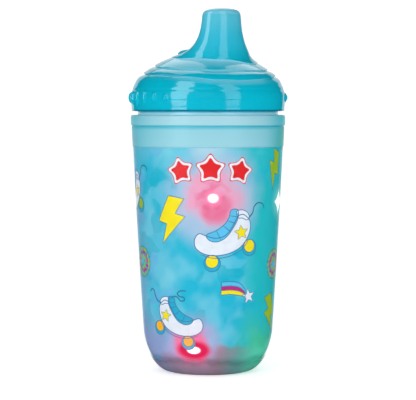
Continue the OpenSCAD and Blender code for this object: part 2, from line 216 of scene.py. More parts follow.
class Graph:
    def __init__(self, name):
        self.mat = bpy.data.materials.new(name)
        self.mat.use_nodes = True
        self.t = self.mat.node_tree
        self.t.nodes.clear()
        self._c = None

    def add(self, kind, **props):
        n = self.t.nodes.new("ShaderNode" + kind)
        for k, v in props.items():
            setattr(n, k, v)
        return n

    def put(self, socket, value):
        if isinstance(value, bpy.types.NodeSocket):
            self.t.links.new(value, socket)
        elif value is not None:
            socket.default_value = value

    def math(self, op, a, b=None, c=None, clamp=False):
        n = self.add("Math", operation=op, use_clamp=clamp)
        for s, v in zip(n.inputs, (a, b, c)):
            self.put(s, v)
        return n.outputs[0]

    def vmath(self, op, a, b=None, scale=None):
        n = self.add("VectorMath", operation=op)
        self.put(n.inputs[0], a)
        if b is not None:
            self.put(n.inputs[1], b)
        if scale is not None:
            self.put(n.inputs["Scale"], scale)
        return n.outputs["Value"] if op in ("DOT_PRODUCT", "LENGTH", "DISTANCE") else n.outputs["Vector"]

    def fit(self, v, a, b, c=0.0, d=1.0, kind="SMOOTHSTEP"):
        n = self.add("MapRange", interpolation_type=kind)
        for s, x in zip(n.inputs, (v, a, b, c, d)):
            self.put(s, x)
        return n.outputs[0]

    def mix(self, fac, a, b, blend="MIX"):
        n = self.add("Mix", data_type="RGBA", blend_type=blend)
        self.put(n.inputs[0], fac)
        self.put(n.inputs[6], a)
        self.put(n.inputs[7], b)
        return n.outputs[2]

    def mm(self):
        """Place on the object in millimetres."""
        if self._c is None:
            self._c = self.vmath("SCALE", self.add("TexCoord").outputs["Object"], scale=1000.0)
        return self._c

    def xyz(self):
        n = self.add("SeparateXYZ")
        self.put(n.inputs[0], self.mm())
        return n.outputs

    def round_cup(self):
        """(phi in degrees, height in mm, unrolled place in mm)"""
        p = self.mm()
        a = self.vmath("DOT_PRODUCT", p, (RIGHT[0], RIGHT[1], 0.0))
        b = self.vmath("DOT_PRODUCT", p, (FRONT[0], FRONT[1], 0.0))
        rad = self.math("ARCTAN2", a, b)
        z = self.xyz()[2]
        u = self.math("MULTIPLY", rad, 35.5)
        n = self.add("CombineXYZ")
        self.put(n.inputs[0], u)
        self.put(n.inputs[1], z)
        return self.math("DEGREES", rad), z, n.outputs[0]

    def noise(self, vec, scale, detail=2.0, rough=0.5, out="Fac"):
        n = self.add("TexNoise")
        self.put(n.inputs["Vector"], vec)
        n.inputs["Scale"].default_value = scale
        n.inputs["Detail"].default_value = detail
        n.inputs["Roughness"].default_value = rough
        return n.outputs[out]

    def cells(self, vec, scale, out="Color", feature="F1", metric="EUCLIDEAN", rand=1.0):
        n = self.add("TexVoronoi", feature=feature, distance=metric)
        self.put(n.inputs["Vector"], vec)
        n.inputs["Scale"].default_value = scale
        n.inputs["Randomness"].default_value = rand
        return n.outputs[out]

    def table(self, v, xs, ys):
        """Reads ys at v, straight between the points"""
        lo, hi, x0, x1 = min(ys), max(ys), xs[0], xs[-1]
        n = self.add("ValToRGB")
        ramp = n.color_ramp
        ramp.interpolation = "LINEAR"
        while len(ramp.elements) > 1:
            ramp.elements.remove(ramp.elements[-1])
        for i, (x, y) in enumerate(zip(xs, ys)):
            e = ramp.elements[0] if i == 0 else ramp.elements.new((x - x0) / (x1 - x0))
            e.position = (x - x0) / (x1 - x0)
            k = (y - lo) / (hi - lo)
            e.color = (k, k, k, 1)
        self.put(n.inputs[0], self.fit(v, x0, x1, 0.0, 1.0, "LINEAR"))
        return self.math("MULTIPLY_ADD", n.outputs[0], hi - lo, lo)

    def ease(self, phi):
        """phi that eases back to zero round the back, so that no colour steps there"""
        return self.math("MULTIPLY", phi, self.fit(self.math("ABSOLUTE", phi), 112.0, 179.5, 1.0, 0.0))

    def cloud(self, phi, uv, scale, detail=2.0, rough=0.5):
        """Noise on the unrolled wall that passes into noise in space round the back"""
        a, b = self.noise(uv, scale, detail, rough), self.noise(self.mm(), scale, detail, rough)
        return self.math("MULTIPLY_ADD", self.math("SUBTRACT", b, a), self.fit(self.math("ABSOLUTE", phi), 120.0, 150.0), a)

    def bump(self, height, strength, distance=0.0002):
        n = self.add("Bump")
        n.inputs["Strength"].default_value = strength
        n.inputs["Distance"].default_value = distance
        self.put(n.inputs["Height"], height)
        return n.outputs[0]

    def principled(self, color, rough=0.4, normal=None, **more):
        n = self.add("BsdfPrincipled")
        self.put(n.inputs["Base Color"], color)
        self.put(n.inputs["Roughness"], rough)
        if normal is not None:
            self.put(n.inputs["Normal"], normal)
        for k, v in more.items():
            self.put(n.inputs[k.replace("_", " ")], v)
        return n.outputs[0]

    def out(self, shader):
        n = self.add("OutputMaterial")
        self.put(n.inputs["Surface"], shader)
        return self.mat


def moulded(name, color, rough=0.35, vary=0.06, bump=0.08, grain=3.0, metallic=0.0, deep=None, **more):
    """A moulded, pressed or cast surface: slow colour drift, fine grain and slightly uneven gloss."""
    g = Graph(name)
    p = g.mm()
    slow = g.noise(p, 0.11, 2.0)
    fine = g.noise(p, grain, 3.0)
    lo = tuple(c * (1 - vary) for c in color[:3]) + (1,)
    hi = tuple(min(1, c * (1 + vary)) for c in color[:3]) + (1,)
    col = g.mix(g.fit(slow, 0.3, 0.7), lo, hi)
    if deep is not None:
        col = g.mix(g.fit(fine, 0.55, 0.75, 0, 0.5), col, deep)
    r = g.fit(fine, 0.3, 0.7, rough * 0.85, min(1, rough * 1.2))
    return g.out(g.principled(col, r, g.bump(fine, bump), Metallic=metallic, **more))


# ---------------------------------------------------------------- glow of the lights in the wall
def spot(g, uv, phi0, z0):
    """Vector in mm from a light's place on the unrolled wall."""
    return g.vmath("SUBTRACT", uv, (math.radians(phi0) * 35.5, z0, 0.0))


def lit(g, phi, z, uv, base):
    """Lays the lights' glow over a colour. Returns (colour, glow colour, glow strength)."""
    wob = g.noise(uv, 0.09, 1.0)
    # wide lilac round the high front light, then pink
    v = spot(g, uv, 3.9, 87.0)
    d = g.vmath("LENGTH", v)
    dn = g.math("ADD", d, g.fit(wob, 0.3, 0.7, -2.6, 2.6, "LINEAR"))
    col = g.mix(g.fit(dn, 13.0, 30.0, 0.86, 0.0), base, srgb(166, 175, 198))
    col = g.mix(g.fit(dn, 8.5, 16.5, 0.93, 0.0), col, srgb(214, 144, 172))
    under = g.vmath("LENGTH", g.vmath("MULTIPLY", g.vmath("SUBTRACT", v, (1.0, -4.6, 0.0)), (1.0, 0.92, 1.0)))
    col = g.mix(g.fit(g.math("ADD", under, g.fit(wob, 0.3, 0.7, -1.6, 1.6, "LINEAR")), 4.5, 10.0, 0.8, 0.0), col, srgb(208, 94, 130))
    blot = g.noise(g.vmath("ADD", uv, (11.0, 4.0, 0.0)), 0.21, 1.0, 0.4)
    petal = g.math("MULTIPLY", g.fit(blot, 0.45, 0.60), g.fit(d, 5.0, 11.0, 0.55, 0.0))
    col = g.mix(petal, col, srgb(208, 74, 118))
    col = g.mix(g.fit(d, 2.4, 6.0, 0.7, 0.0), col, srgb(232, 128, 164))
    core1 = g.fit(g.vmath("LENGTH", g.vmath("MULTIPLY", v, (0.92, 1.1, 1.0))), 0.9, 3.2, 1.0, 0.0)
    # the low front light: strong red under pink
    e = g.vmath("MULTIPLY", spot(g, uv, -13.2, 13.4), (0.62, 1.32, 1.0))
    ed = g.vmath("LENGTH", e)
    en = g.math("ADD", g.vmath("LENGTH", g.vmath("MULTIPLY", spot(g, uv, -16.0, 15.0), (0.92, 0.92, 1.0))), g.fit(wob, 0.3, 0.7, -2.2, 2.2, "LINEAR"))
    up = g.fit(z, 6.0, 13.0, 0.25, 1.0)
    col = g.mix(g.math("MULTIPLY", g.fit(en, 10.0, 18.0, 0.75, 0.0), up), col, srgb(172, 150, 192))
    col = g.mix(g.math("MULTIPLY", g.fit(en, 6.0, 12.0, 0.92, 0.0), g.fit(z, 2.0, 10.0, 0.35, 1.0)), col, srgb(226, 100, 140))
    col = g.mix(g.fit(ed, 4.2, 7.6, 0.97, 0.0), col, srgb(202, 18, 70))
    core2 = g.fit(ed, 1.6, 2.9, 1.0, 0.0)
    # star flare of the light on the right
    f = spot(g, uv, 75.5, 84.4)
    fx = g.add("SeparateXYZ")
    g.put(fx.inputs[0], f)
    ax = g.math("POWER", g.math("DIVIDE", g.math("ABSOLUTE", fx.outputs[0]), 6.8), 0.72)
    az = g.math("POWER", g.math("DIVIDE", g.math("ABSOLUTE", fx.outputs[1]), 6.6), 0.72)
    star = g.math("ADD", ax, az)
    core3 = g.fit(star, 0.72, 1.10, 0.94, 0.0)
    halo3 = g.fit(g.vmath("LENGTH", f), 2.0, 11.0, 0.5, 0.0)
    col = g.mix(halo3, col, srgb(150, 222, 205))
    core = g.math("MAXIMUM", g.math("MAXIMUM", core1, core2), core3)
    col = g.mix(core, col, (1, 0.97, 0.97, 1))
    pink = g.math("MAXIMUM", g.fit(dn, 3.0, 14.0, 0.03, 0.0), g.fit(ed, 4.0, 13.0, 0.06, 0.0))
    power = g.math("ADD", g.math("MULTIPLY", core, 0.9), pink)
    return col, power


# ---------------------------------------------------------------- the lid
DOME = [  # height, centre y, half width x, half depth y, tilt
    (141.2, 0, 36.55, 36.55, 0), (142.6, 0, 35.95, 35.95, 0), (144.2, 0, 35.05, 35.05, 0), (145.6, 0, 33.95, 33.95, 0),
    (146.8, 0, 32.6, 32.6, 0), (148.0, 0, 31.0, 31.0, 0), (149.4, 0, 29.0, 29.0, 0), (150.8, -0.1, 26.95, 26.95, 0),
    (152.2, -0.4, 24.7, 24.7, 0), (153.4, -1.1, 22.6, 22.7, 0), (154.4, -2.4, 20.9, 21.0, 0),
    (155.4, -4.3, 19.3, 19.0, 0), (156.2, -6.6, 17.9, 16.6, 0), (157.0, -9.0, 16.7, 14.0, 0),
    (158.0, -10.9, 15.6, 12.0, 0), (159.4, -12.1, 14.5, 10.6, 0), (161.0, -13.05, 13.4, 9.55, 0),
    (163.5, -13.9, 12.2, 8.4, 0), (166.5, -14.5, 11.2, 7.5, 0), (170.0, -14.8, 10.5, 7.0, 0),
    (173.5, -15.0, 10.1, 6.7, -0.1), (175.2, -15.0, 9.95, 6.5, -0.3), (176.3, -15.0, 9.55, 6.15, -0.45),
    (177.2, -15.0, 8.7, 5.4, -0.6), (177.75, -15.05, 7.2, 4.1, -0.55), (178.02, -15.1, 5.0, 2.6, -0.4),
    (178.14, -15.1, 2.2, 1.1, -0.2)]
SKIRT = [(128.5, 37.15), (128.58, 37.42), (128.8, 37.62), (129.2, 37.72), (129.9, 37.74), (131.0, 37.86), (132.6, 38.0),
         (133.9, 38.06), (134.3, 38.14), (135.6, 38.14), (137.0, 38.02), (137.9, 37.84), (138.5, 37.56), (138.8, 37.4),
         (139.2, 37.34), (139.8, 37.22), (140.5, 36.92), (141.2, 36.55)]
# swirl lines: (phi, apparent height, radius), depth by phi
LINES = [
    ([-180, -135, -90, -55, -39, -27, -14.5, -5.6, 1, 9, 20, 33, 53, 70, 86, 120, 150, 180],
     [148.4, 148.1, 147.5, 146.8, 146.8, 146.0, 145.4, 144.8, 144.3, 143.85, 143.65, 143.8, 144.4, 145.3, 146.3, 147.4, 148.1, 148.4], 33.5,
     2.9, ([-180, -100, -84, -60, 20, 50, 66, 86, 100, 180], [0.7, 1.05, 1.1, 0.5, 0.6, 0.3, 0.5, 1.1, 0.9, 0.7])),
    ([-180, -130, -88, -54, -31, -9, 7, 26, 47, 70, 88, 130, 180],
     [151.2, 151.5, 151.4, 150.1, 149.4, 148.9, 148.6, 148.5, 148.35, 148.6, 149.1, 150.2, 151.2], 29,
     2.0, ([-180, -100, -84, -60, 0, 50, 66, 86, 100, 180], [0.6, 0.95, 1.0, 0.5, 0.42, 0.4, 0.5, 0.95, 0.8, 0.6])),
    ([-180, -120, -90, -60, -37, -17, 9, 26, 39, 54, 72, 90, 130, 180],
     [155.0, 155.2, 155.2, 155.0, 154.4, 154.7, 154.0, 153.8, 152.9, 151.7, 151.9, 152.6, 154.0, 155.0], 22.5,
     3.1, ([-180, -70, -45, -20, 20, 50, 75, 100, 180], [0.2, 0.25, 0.45, 0.7, 0.7, 0.45, 0.4, 0.35, 0.2])),
]


# ---------------------------------------------------------------- materials of the cup
def film_colour(g, phi, z, uv):
    far = g.fit(g.math("ABSOLUTE", phi), 120.0, 150.0)
    clouds = g.cloud(phi, uv, 0.05, 2.0, 0.5)
    soft = g.cloud(phi, uv, 0.075, 1.0)
    wave = g.vmath("SCALE", g.noise(g.mm(), 0.09, 1.0, out="Color"), scale=5.0)
    patch = g.mix(far, g.cells(g.vmath("ADD", uv, wave), 0.085, "Color", metric="MANHATTAN"),
                  g.cells(g.vmath("ADD", g.mm(), wave), 0.085, "Color", metric="MANHATTAN"))
    sep = g.add("SeparateColor")
    g.put(sep.inputs[0], patch)
    phi = g.ease(phi)
    col = g.mix(g.fit(clouds, 0.40, 0.62), srgb(22, 163, 190), srgb(90, 176, 198))
    col = g.mix(g.fit(soft, 0.52, 0.74, 0, 0.55), col, srgb(118, 190, 204))
    col = g.mix(g.fit(sep.outputs[0], 0.74, 0.78, 0, 0.50), col, srgb(2, 156, 178))
    col = g.mix(g.fit(sep.outputs[1], 0.78, 0.82, 0, 0.40), col, srgb(92, 180, 204))
    col = g.mix(g.math("MULTIPLY", g.fit(sep.outputs[2], 0.80, 0.84, 0, 0.5), g.fit(phi, 10.0, -40.0)), col, srgb(92, 158, 206))
    # pale wash under the top edge
    col = g.mix(g.fit(z, 98.0, 112.0, 0, 0.40), col, srgb(110, 187, 202))
    col = g.mix(g.fit(g.vmath("LENGTH", spot(g, uv, 0.0, 113.0)), 3.0, 12.0, 0.75, 0.0), col, srgb(162, 204, 212))
    # painted light: the right side runs to sea green and the low right to leaf green, the green lights on that side
    # painted in as colour; the left edge runs to grey violet
    col = g.mix(g.fit(g.math("ADD", phi, g.fit(clouds, 0.3, 0.7, -16, 16, "LINEAR")), 18.0, 56.0, 0, 0.94), col, srgb(0, 171, 178))
    green = g.math("MULTIPLY", g.fit(phi, 14.0, 48.0), g.fit(g.math("ADD", z, g.fit(clouds, 0.3, 0.7, -9, 9, "LINEAR")), 31.0, 11.0))
    col = g.mix(g.math("MULTIPLY", green, 0.95), col, srgb(56, 176, 136))
    left = g.math("MULTIPLY", g.fit(g.math("ADD", phi, g.fit(soft, 0.3, 0.7, -22, 22, "LINEAR")), -50.0, -82.0),
                  g.fit(z, 112.0, 76.0, 0.25, 1.0))
    col = g.mix(g.math("MULTIPLY", left, 0.58), col, srgb(112, 150, 186))
    low = g.math("MULTIPLY", g.fit(phi, -14.0, -50.0), g.fit(z, 34.0, 17.0))
    col = g.mix(g.math("MULTIPLY", low, 0.85), col, srgb(132, 138, 182))
    return foot_colour(g, phi, z, uv, col)


def foot_colour(g, phi, z, uv, above):
    """Below an uneven line the dark module shows through, tinted by the lights. phi is already eased."""
    wob = g.noise(g.mm(), 0.11, 1.0)
    spike = g.cells(g.mm(), 0.10, "Distance", metric="MANHATTAN")
    low = g.mix(g.fit(phi, -62.0, -22.0), srgb(128, 126, 160), srgb(146, 108, 124))
    low = g.mix(g.fit(g.math("ADD", phi, g.fit(wob, 0.3, 0.7, -8, 8, "LINEAR")), 2.0, 34.0), low, srgb(90, 140, 138))
    low = g.mix(g.fit(phi, 26.0, 56.0), low, srgb(74, 190, 160))
    low = g.mix(g.fit(z, 7.0, 0.5, 0, 0.4), low, srgb(96, 98, 108))
    edge = g.math("ADD", g.fit(phi, -60.0, 10.0, 8.5, 14.5), g.fit(spike, 0.1, 1.1, -1.8, 2.6, "LINEAR"))
    return g.mix(g.fit(g.math("SUBTRACT", z, edge), -2.6, 1.4, 0.95, 0.0), above, low)


def make_film():
    g = Graph("printed_film")
    phi, z, uv = g.round_cup()
    base = film_colour(g, phi, z, uv)
    dots = g.cells(uv, 1.6, "Distance", rand=0.25)
    base = g.mix(g.fit(dots, 0.15, 0.5, 0.05, 0.0), base, srgb(130, 200, 220))
    col, power = lit(g, phi, z, uv, base)
    grain = g.noise(g.mm(), 2.2, 3.0)
    # painted light: the film glows, with the lights' painted glow plus an even 0.20 everywhere
    return g.out(g.principled(col, 0.5, g.bump(grain, 0.05), Emission_Color=col,
                              Emission_Strength=g.math("ADD", power, 0.20), Specular_IOR_Level=0.10))


def make_shell():
    g = Graph("shell_frosted")
    phi, z, uv = g.round_cup()
    wob = g.noise(g.mm(), 0.11, 1.0)
    turned = g.ease(phi)
    side = g.math("POWER", g.math("ABSOLUTE", g.math("SINE", g.math("RADIANS", phi))), 4.0)
    # frosted band and collar, over the print
    top = g.mix(g.fit(z, 112.0, 121.0), srgb(146, 202, 216), srgb(140, 200, 214))
    top = g.mix(g.fit(z, 121.6, 122.2), top, srgb(158, 205, 217))
    # painted shade: the band and collar are drawn darker teal towards the left and right sides, weighted by side
    top = g.mix(g.math("MULTIPLY", side, 0.95), top, srgb(80, 191, 209))
    # painted light: the right side of the band and collar goes green teal, the green lights' light painted in
    top = g.mix(g.fit(turned, 44.0, 80.0, 0, 0.85), top, g.mix(g.fit(z, 120.6, 122.2), srgb(60, 183, 178), srgb(65, 194, 207)))
    top = g.mix(g.math("MULTIPLY", g.fit(turned, -58.0, -88.0), g.fit(z, 122.0, 112.0, 0, 0.8)), top, srgb(138, 180, 196))
    # painted shadow: a dark teal line in the step just under the collar's lower edge
    line = g.math("MULTIPLY", g.fit(z, 119.2, 121.0), g.fit(z, 122.0, 121.5))
    top = g.mix(g.math("MULTIPLY", line, 0.85), top, srgb(62, 180, 200))
    # rounded foot, where the dark module shows through the thick clear corner
    low, power = lit(g, phi, z, uv, foot_colour(g, turned, z, uv, srgb(30, 160, 190)))
    body = g.mix(g.fit(z, 60.0, 61.0), low, top)
    mask_low = g.fit(g.math("ADD", z, g.fit(wob, 0.3, 0.7, -1.0, 1.0, "LINEAR")), 3.6, 10.0, 0.92, 0.0)
    mask_top = g.fit(z, 110.8, 111.7, 0.0, 0.86)
    frost = g.math("MAXIMUM", mask_low, mask_top)
    grain = g.noise(g.mm(), 2.6, 3.0)
    nrm = g.bump(grain, 0.05)
    # painted light: the frosted parts glow, with the lights' painted glow low down plus an even 0.06
    glow = g.math("MULTIPLY", power, g.fit(z, 30.0, 28.0))
    solid = g.principled(body, 0.34, nrm, Emission_Color=body, Emission_Strength=g.math("ADD", glow, 0.06),
                         Specular_IOR_Level=0.25)
    # clear wall over the print
    clear = g.add("BsdfTransparent")
    clear.inputs[0].default_value = (0.985, 0.99, 0.995, 1)
    facing = g.add("LayerWeight")
    facing.inputs["Blend"].default_value = 0.5
    gloss = g.add("BsdfGlossy")
    gloss.inputs["Roughness"].default_value = 0.22
    gloss.inputs["Color"].default_value = (1, 1, 1, 1)
    fres = g.math("MULTIPLY_ADD", g.math("POWER", facing.outputs["Facing"], 5.0), 0.20, 0.005)
    m1 = g.add("MixShader")
    g.put(m1.inputs[0], fres)
    g.put(m1.inputs[1], clear.outputs[0])
    g.put(m1.inputs[2], gloss.outputs[0])
    m2 = g.add("MixShader")
    g.put(m2.inputs[0], frost)
    g.put(m2.inputs[1], m1.outputs[0])
    g.put(m2.inputs[2], solid)
    return g.out(m2.outputs[0])


def make_lid(name="lid_teal", ledges=LINES):
    g = Graph(name)
    phi, z, uv = g.round_cup()
    p = g.mm()
    slow = g.noise(p, 0.05, 2.0)
    fine = g.noise(p, 1.8, 3.0)
    col = g.mix(g.fit(slow, 0.35, 0.65), (0.0006, 0.392, 0.530, 1), (0.0012, 0.426, 0.572, 1))
    # painted light: the spout is thinner and is drawn lighter upward, most at its tip, with a painted highlight band at
    # the rim
    col = g.mix(g.fit(z, 152.0, 164.0, 0, 0.70), col, srgb(54, 180, 208))
    col = g.mix(g.fit(z, 163.0, 175.0, 0, 0.80), col, srgb(84, 182, 204))
    col = g.mix(g.fit(z, 175.2, 176.0, 0, 0.5), col, srgb(122, 196, 216))
    # each swirl ledge is thin below its line; a painted light crescent lightens the colour there
    for (xs, hs, rad, w, _), wide, power, ends in zip(ledges, (2.8, 2.2, 4.4), (0.55, 0.62, 1.0), ((-40, -16, 44, 56), None, None)):
        real = [130 + (h - 130) * (1 - rad * math.cos(math.radians(x)) / 1000) for x, h in zip(xs, hs)]
        d = g.math("SUBTRACT", g.table(phi, xs, real), z)
        fac = g.math("MULTIPLY", g.math("POWER", g.fit(d, 0.0, wide, 1.0, 0.0, "LINEAR"), 1.15), g.fit(d, -0.25, 0.05, 0.0, power))
        if ends:
            fac = g.math("MULTIPLY", fac, g.math("MULTIPLY", g.fit(phi, ends[0], ends[1], 0.35, 1.0), g.fit(phi, ends[2], ends[3], 1.0, 0.25)))
        col = g.mix(fac, col, srgb(146, 213, 232))
    # the lower edge turns under, into shade
    col = g.mix(g.fit(z, 129.5, 129.1, 0, 0.8), col, srgb(0, 92, 122))
    rough = g.fit(fine, 0.3, 0.7, 0.08, 0.12)
    return g.out(g.principled(col, rough, g.bump(g.noise(p, 0.35, 2.0), 0.10, 0.0004),
                              Subsurface_Weight=0.0, Specular_IOR_Level=0.5, IOR=1.5))


def make_liner():
    g = Graph("inner_teal")
    z = g.xyz()[2]
    p = g.mm()
    fine = g.noise(p, 2.0, 3.0)
    col = g.mix(g.fit(g.noise(p, 0.11, 2.0), 0.3, 0.7), srgb(28, 178, 204), srgb(38, 190, 214))
    # painted light: a bright, slightly glowing band on the neck shoulder where it sits on the pale collar; the rest of
    # the liner glows very faintly
    neck_painted_light = g.math("MULTIPLY", g.fit(z, 126.0, 126.6), g.fit(z, 128.4, 127.6))
    col = g.mix(neck_painted_light, col, srgb(156, 218, 234))
    return g.out(g.principled(col, g.fit(fine, 0.3, 0.7, 0.19, 0.27), g.bump(fine, 0.05), Emission_Color=col,
                              Emission_Strength=g.math("MULTIPLY_ADD", neck_painted_light, 0.24, 0.02)))


MAT = {
    "film": make_film(),
    "shell": make_shell(),
    "lid": make_lid(),
    "lid_plain": make_lid("lid_teal_plain", ()),
    "liner": make_liner(),
    "silicone": moulded("silicone_clear", srgb(214, 226, 228), 0.48, 0.03, 0.12, 2.4, Subsurface_Weight=0.12),
    "white_silicone": moulded("silicone_white", srgb(232, 234, 232), 0.5, 0.03, 0.12, 2.4),
    "cap": moulded("cap_teal", srgb(10, 160, 186), 0.33, 0.06, 0.16, 1.6),
    "button": moulded("button_soft", srgb(236, 72, 132), 0.5, 0.06, 0.2, 2.8),
    "screw": moulded("screw_steel", (0.60, 0.60, 0.62), 0.32, 0.1, 0.1, 4.0, 0.7),
    "strip": moulded("flex_strip", srgb(214, 170, 92), 0.42, 0.1, 0.1, 3.0),
    "board": moulded("board_green", srgb(22, 104, 58), 0.36, 0.12, 0.15, 1.1, deep=srgb(40, 140, 78)),
    "chip": moulded("chip_black", srgb(34, 34, 37), 0.55, 0.15, 0.2, 5.0),
    "resistor": moulded("resistor_ceramic", srgb(120, 104, 84), 0.5, 0.2, 0.1, 4.0, deep=srgb(32, 30, 30)),
    "metal": moulded("switch_metal", (0.60, 0.60, 0.61), 0.32, 0.08, 0.12, 4.0, 0.75),
    "plunger": moulded("switch_black", srgb(38, 38, 42), 0.5, 0.1, 0.15, 4.0),
    "cell": moulded("cell_steel", (0.68, 0.67, 0.65), 0.28, 0.08, 0.1, 6.0, 0.8),
    "clip": moulded("clip_steel", (0.62, 0.62, 0.61), 0.3, 0.08, 0.1, 5.0, 0.8),
    "gold": moulded("pad_gold", (0.83, 0.58, 0.22), 0.3, 0.1, 0.1, 4.0, 1.0),
    "module": moulded("module_white", srgb(226, 228, 226), 0.48, 0.03, 0.14, 2.0),
    "spring": moulded("spring_steel", (0.62, 0.62, 0.62), 0.3, 0.06, 0.08, 5.0, 0.8),
}


def led_mat(name, body, glow, power):
    g = Graph(name)
    n = g.noise(g.mm(), 1.4, 2.0)
    col = g.mix(g.fit(n, 0.35, 0.65), tuple(c * 0.85 for c in body[:3]) + (1,), body)
    return g.out(g.principled(col, 0.15, g.bump(n, 0.05), Emission_Color=glow, Emission_Strength=power))


MAT["red_led"] = led_mat("led_red", srgb(255, 120, 130), srgb(255, 60, 90), 2.5)
MAT["green_led"] = led_mat("led_green", srgb(150, 255, 190), srgb(90, 255, 150), 2.0)
MAT["blue_led"] = led_mat("led_blue", srgb(190, 210, 245), srgb(80, 120, 255), 0.1)


def ink(name, rgb, rough=0.45, glow=0.03):
    """Printed ink: a dot screen, slow drift, and the pink of the lights where they are near."""
    g = Graph(name)
    phi, z, uv = g.round_cup()
    c = srgb(*rgb)
    slow = g.noise(uv, 0.2, 2.0)
    screen = g.cells(uv, 1.9, "Distance", rand=0.1)
    col = g.mix(g.fit(slow, 0.35, 0.65, 0, 0.5), c, tuple(x * 0.88 for x in c[:3]) + (1,))
    col = g.mix(g.fit(screen, 0.2, 0.5, 0.02, 0.0), col, (1, 1, 1, 1))
    near = g.math("MAXIMUM", g.fit(g.vmath("LENGTH", spot(g, uv, 3.9, 87.0)), 5.0, 16.0, 0.06, 0.0),
                  g.fit(g.vmath("LENGTH", spot(g, uv, -13.2, 13.6)), 5.0, 17.0, 0.12, 0.0))
    col = g.mix(near, col, srgb(248, 150, 190))
    return g.out(g.principled(col, rough, g.bump(slow, 0.03), Emission_Color=col, Emission_Strength=glow, Specular_IOR_Level=0.12))


INK = {
    "white": ink("ink_white", (222, 228, 236)),
    "yellow": ink("ink_yellow", (238, 218, 0)),
    "lime": ink("ink_lime", (152, 190, 22)),
    "orange": ink("ink_orange", (246, 176, 8)),
    "red": ink("ink_red", (221, 18, 24)),
    "line": ink("ink_line", (58, 116, 160)),
    "lace": ink("ink_lace", (24, 116, 150)),
    "sky": ink("ink_sky", (84, 186, 226)),
    "deep": ink("ink_deep", (20, 166, 200)),
    "magenta": ink("ink_magenta", (184, 34, 126)),
}

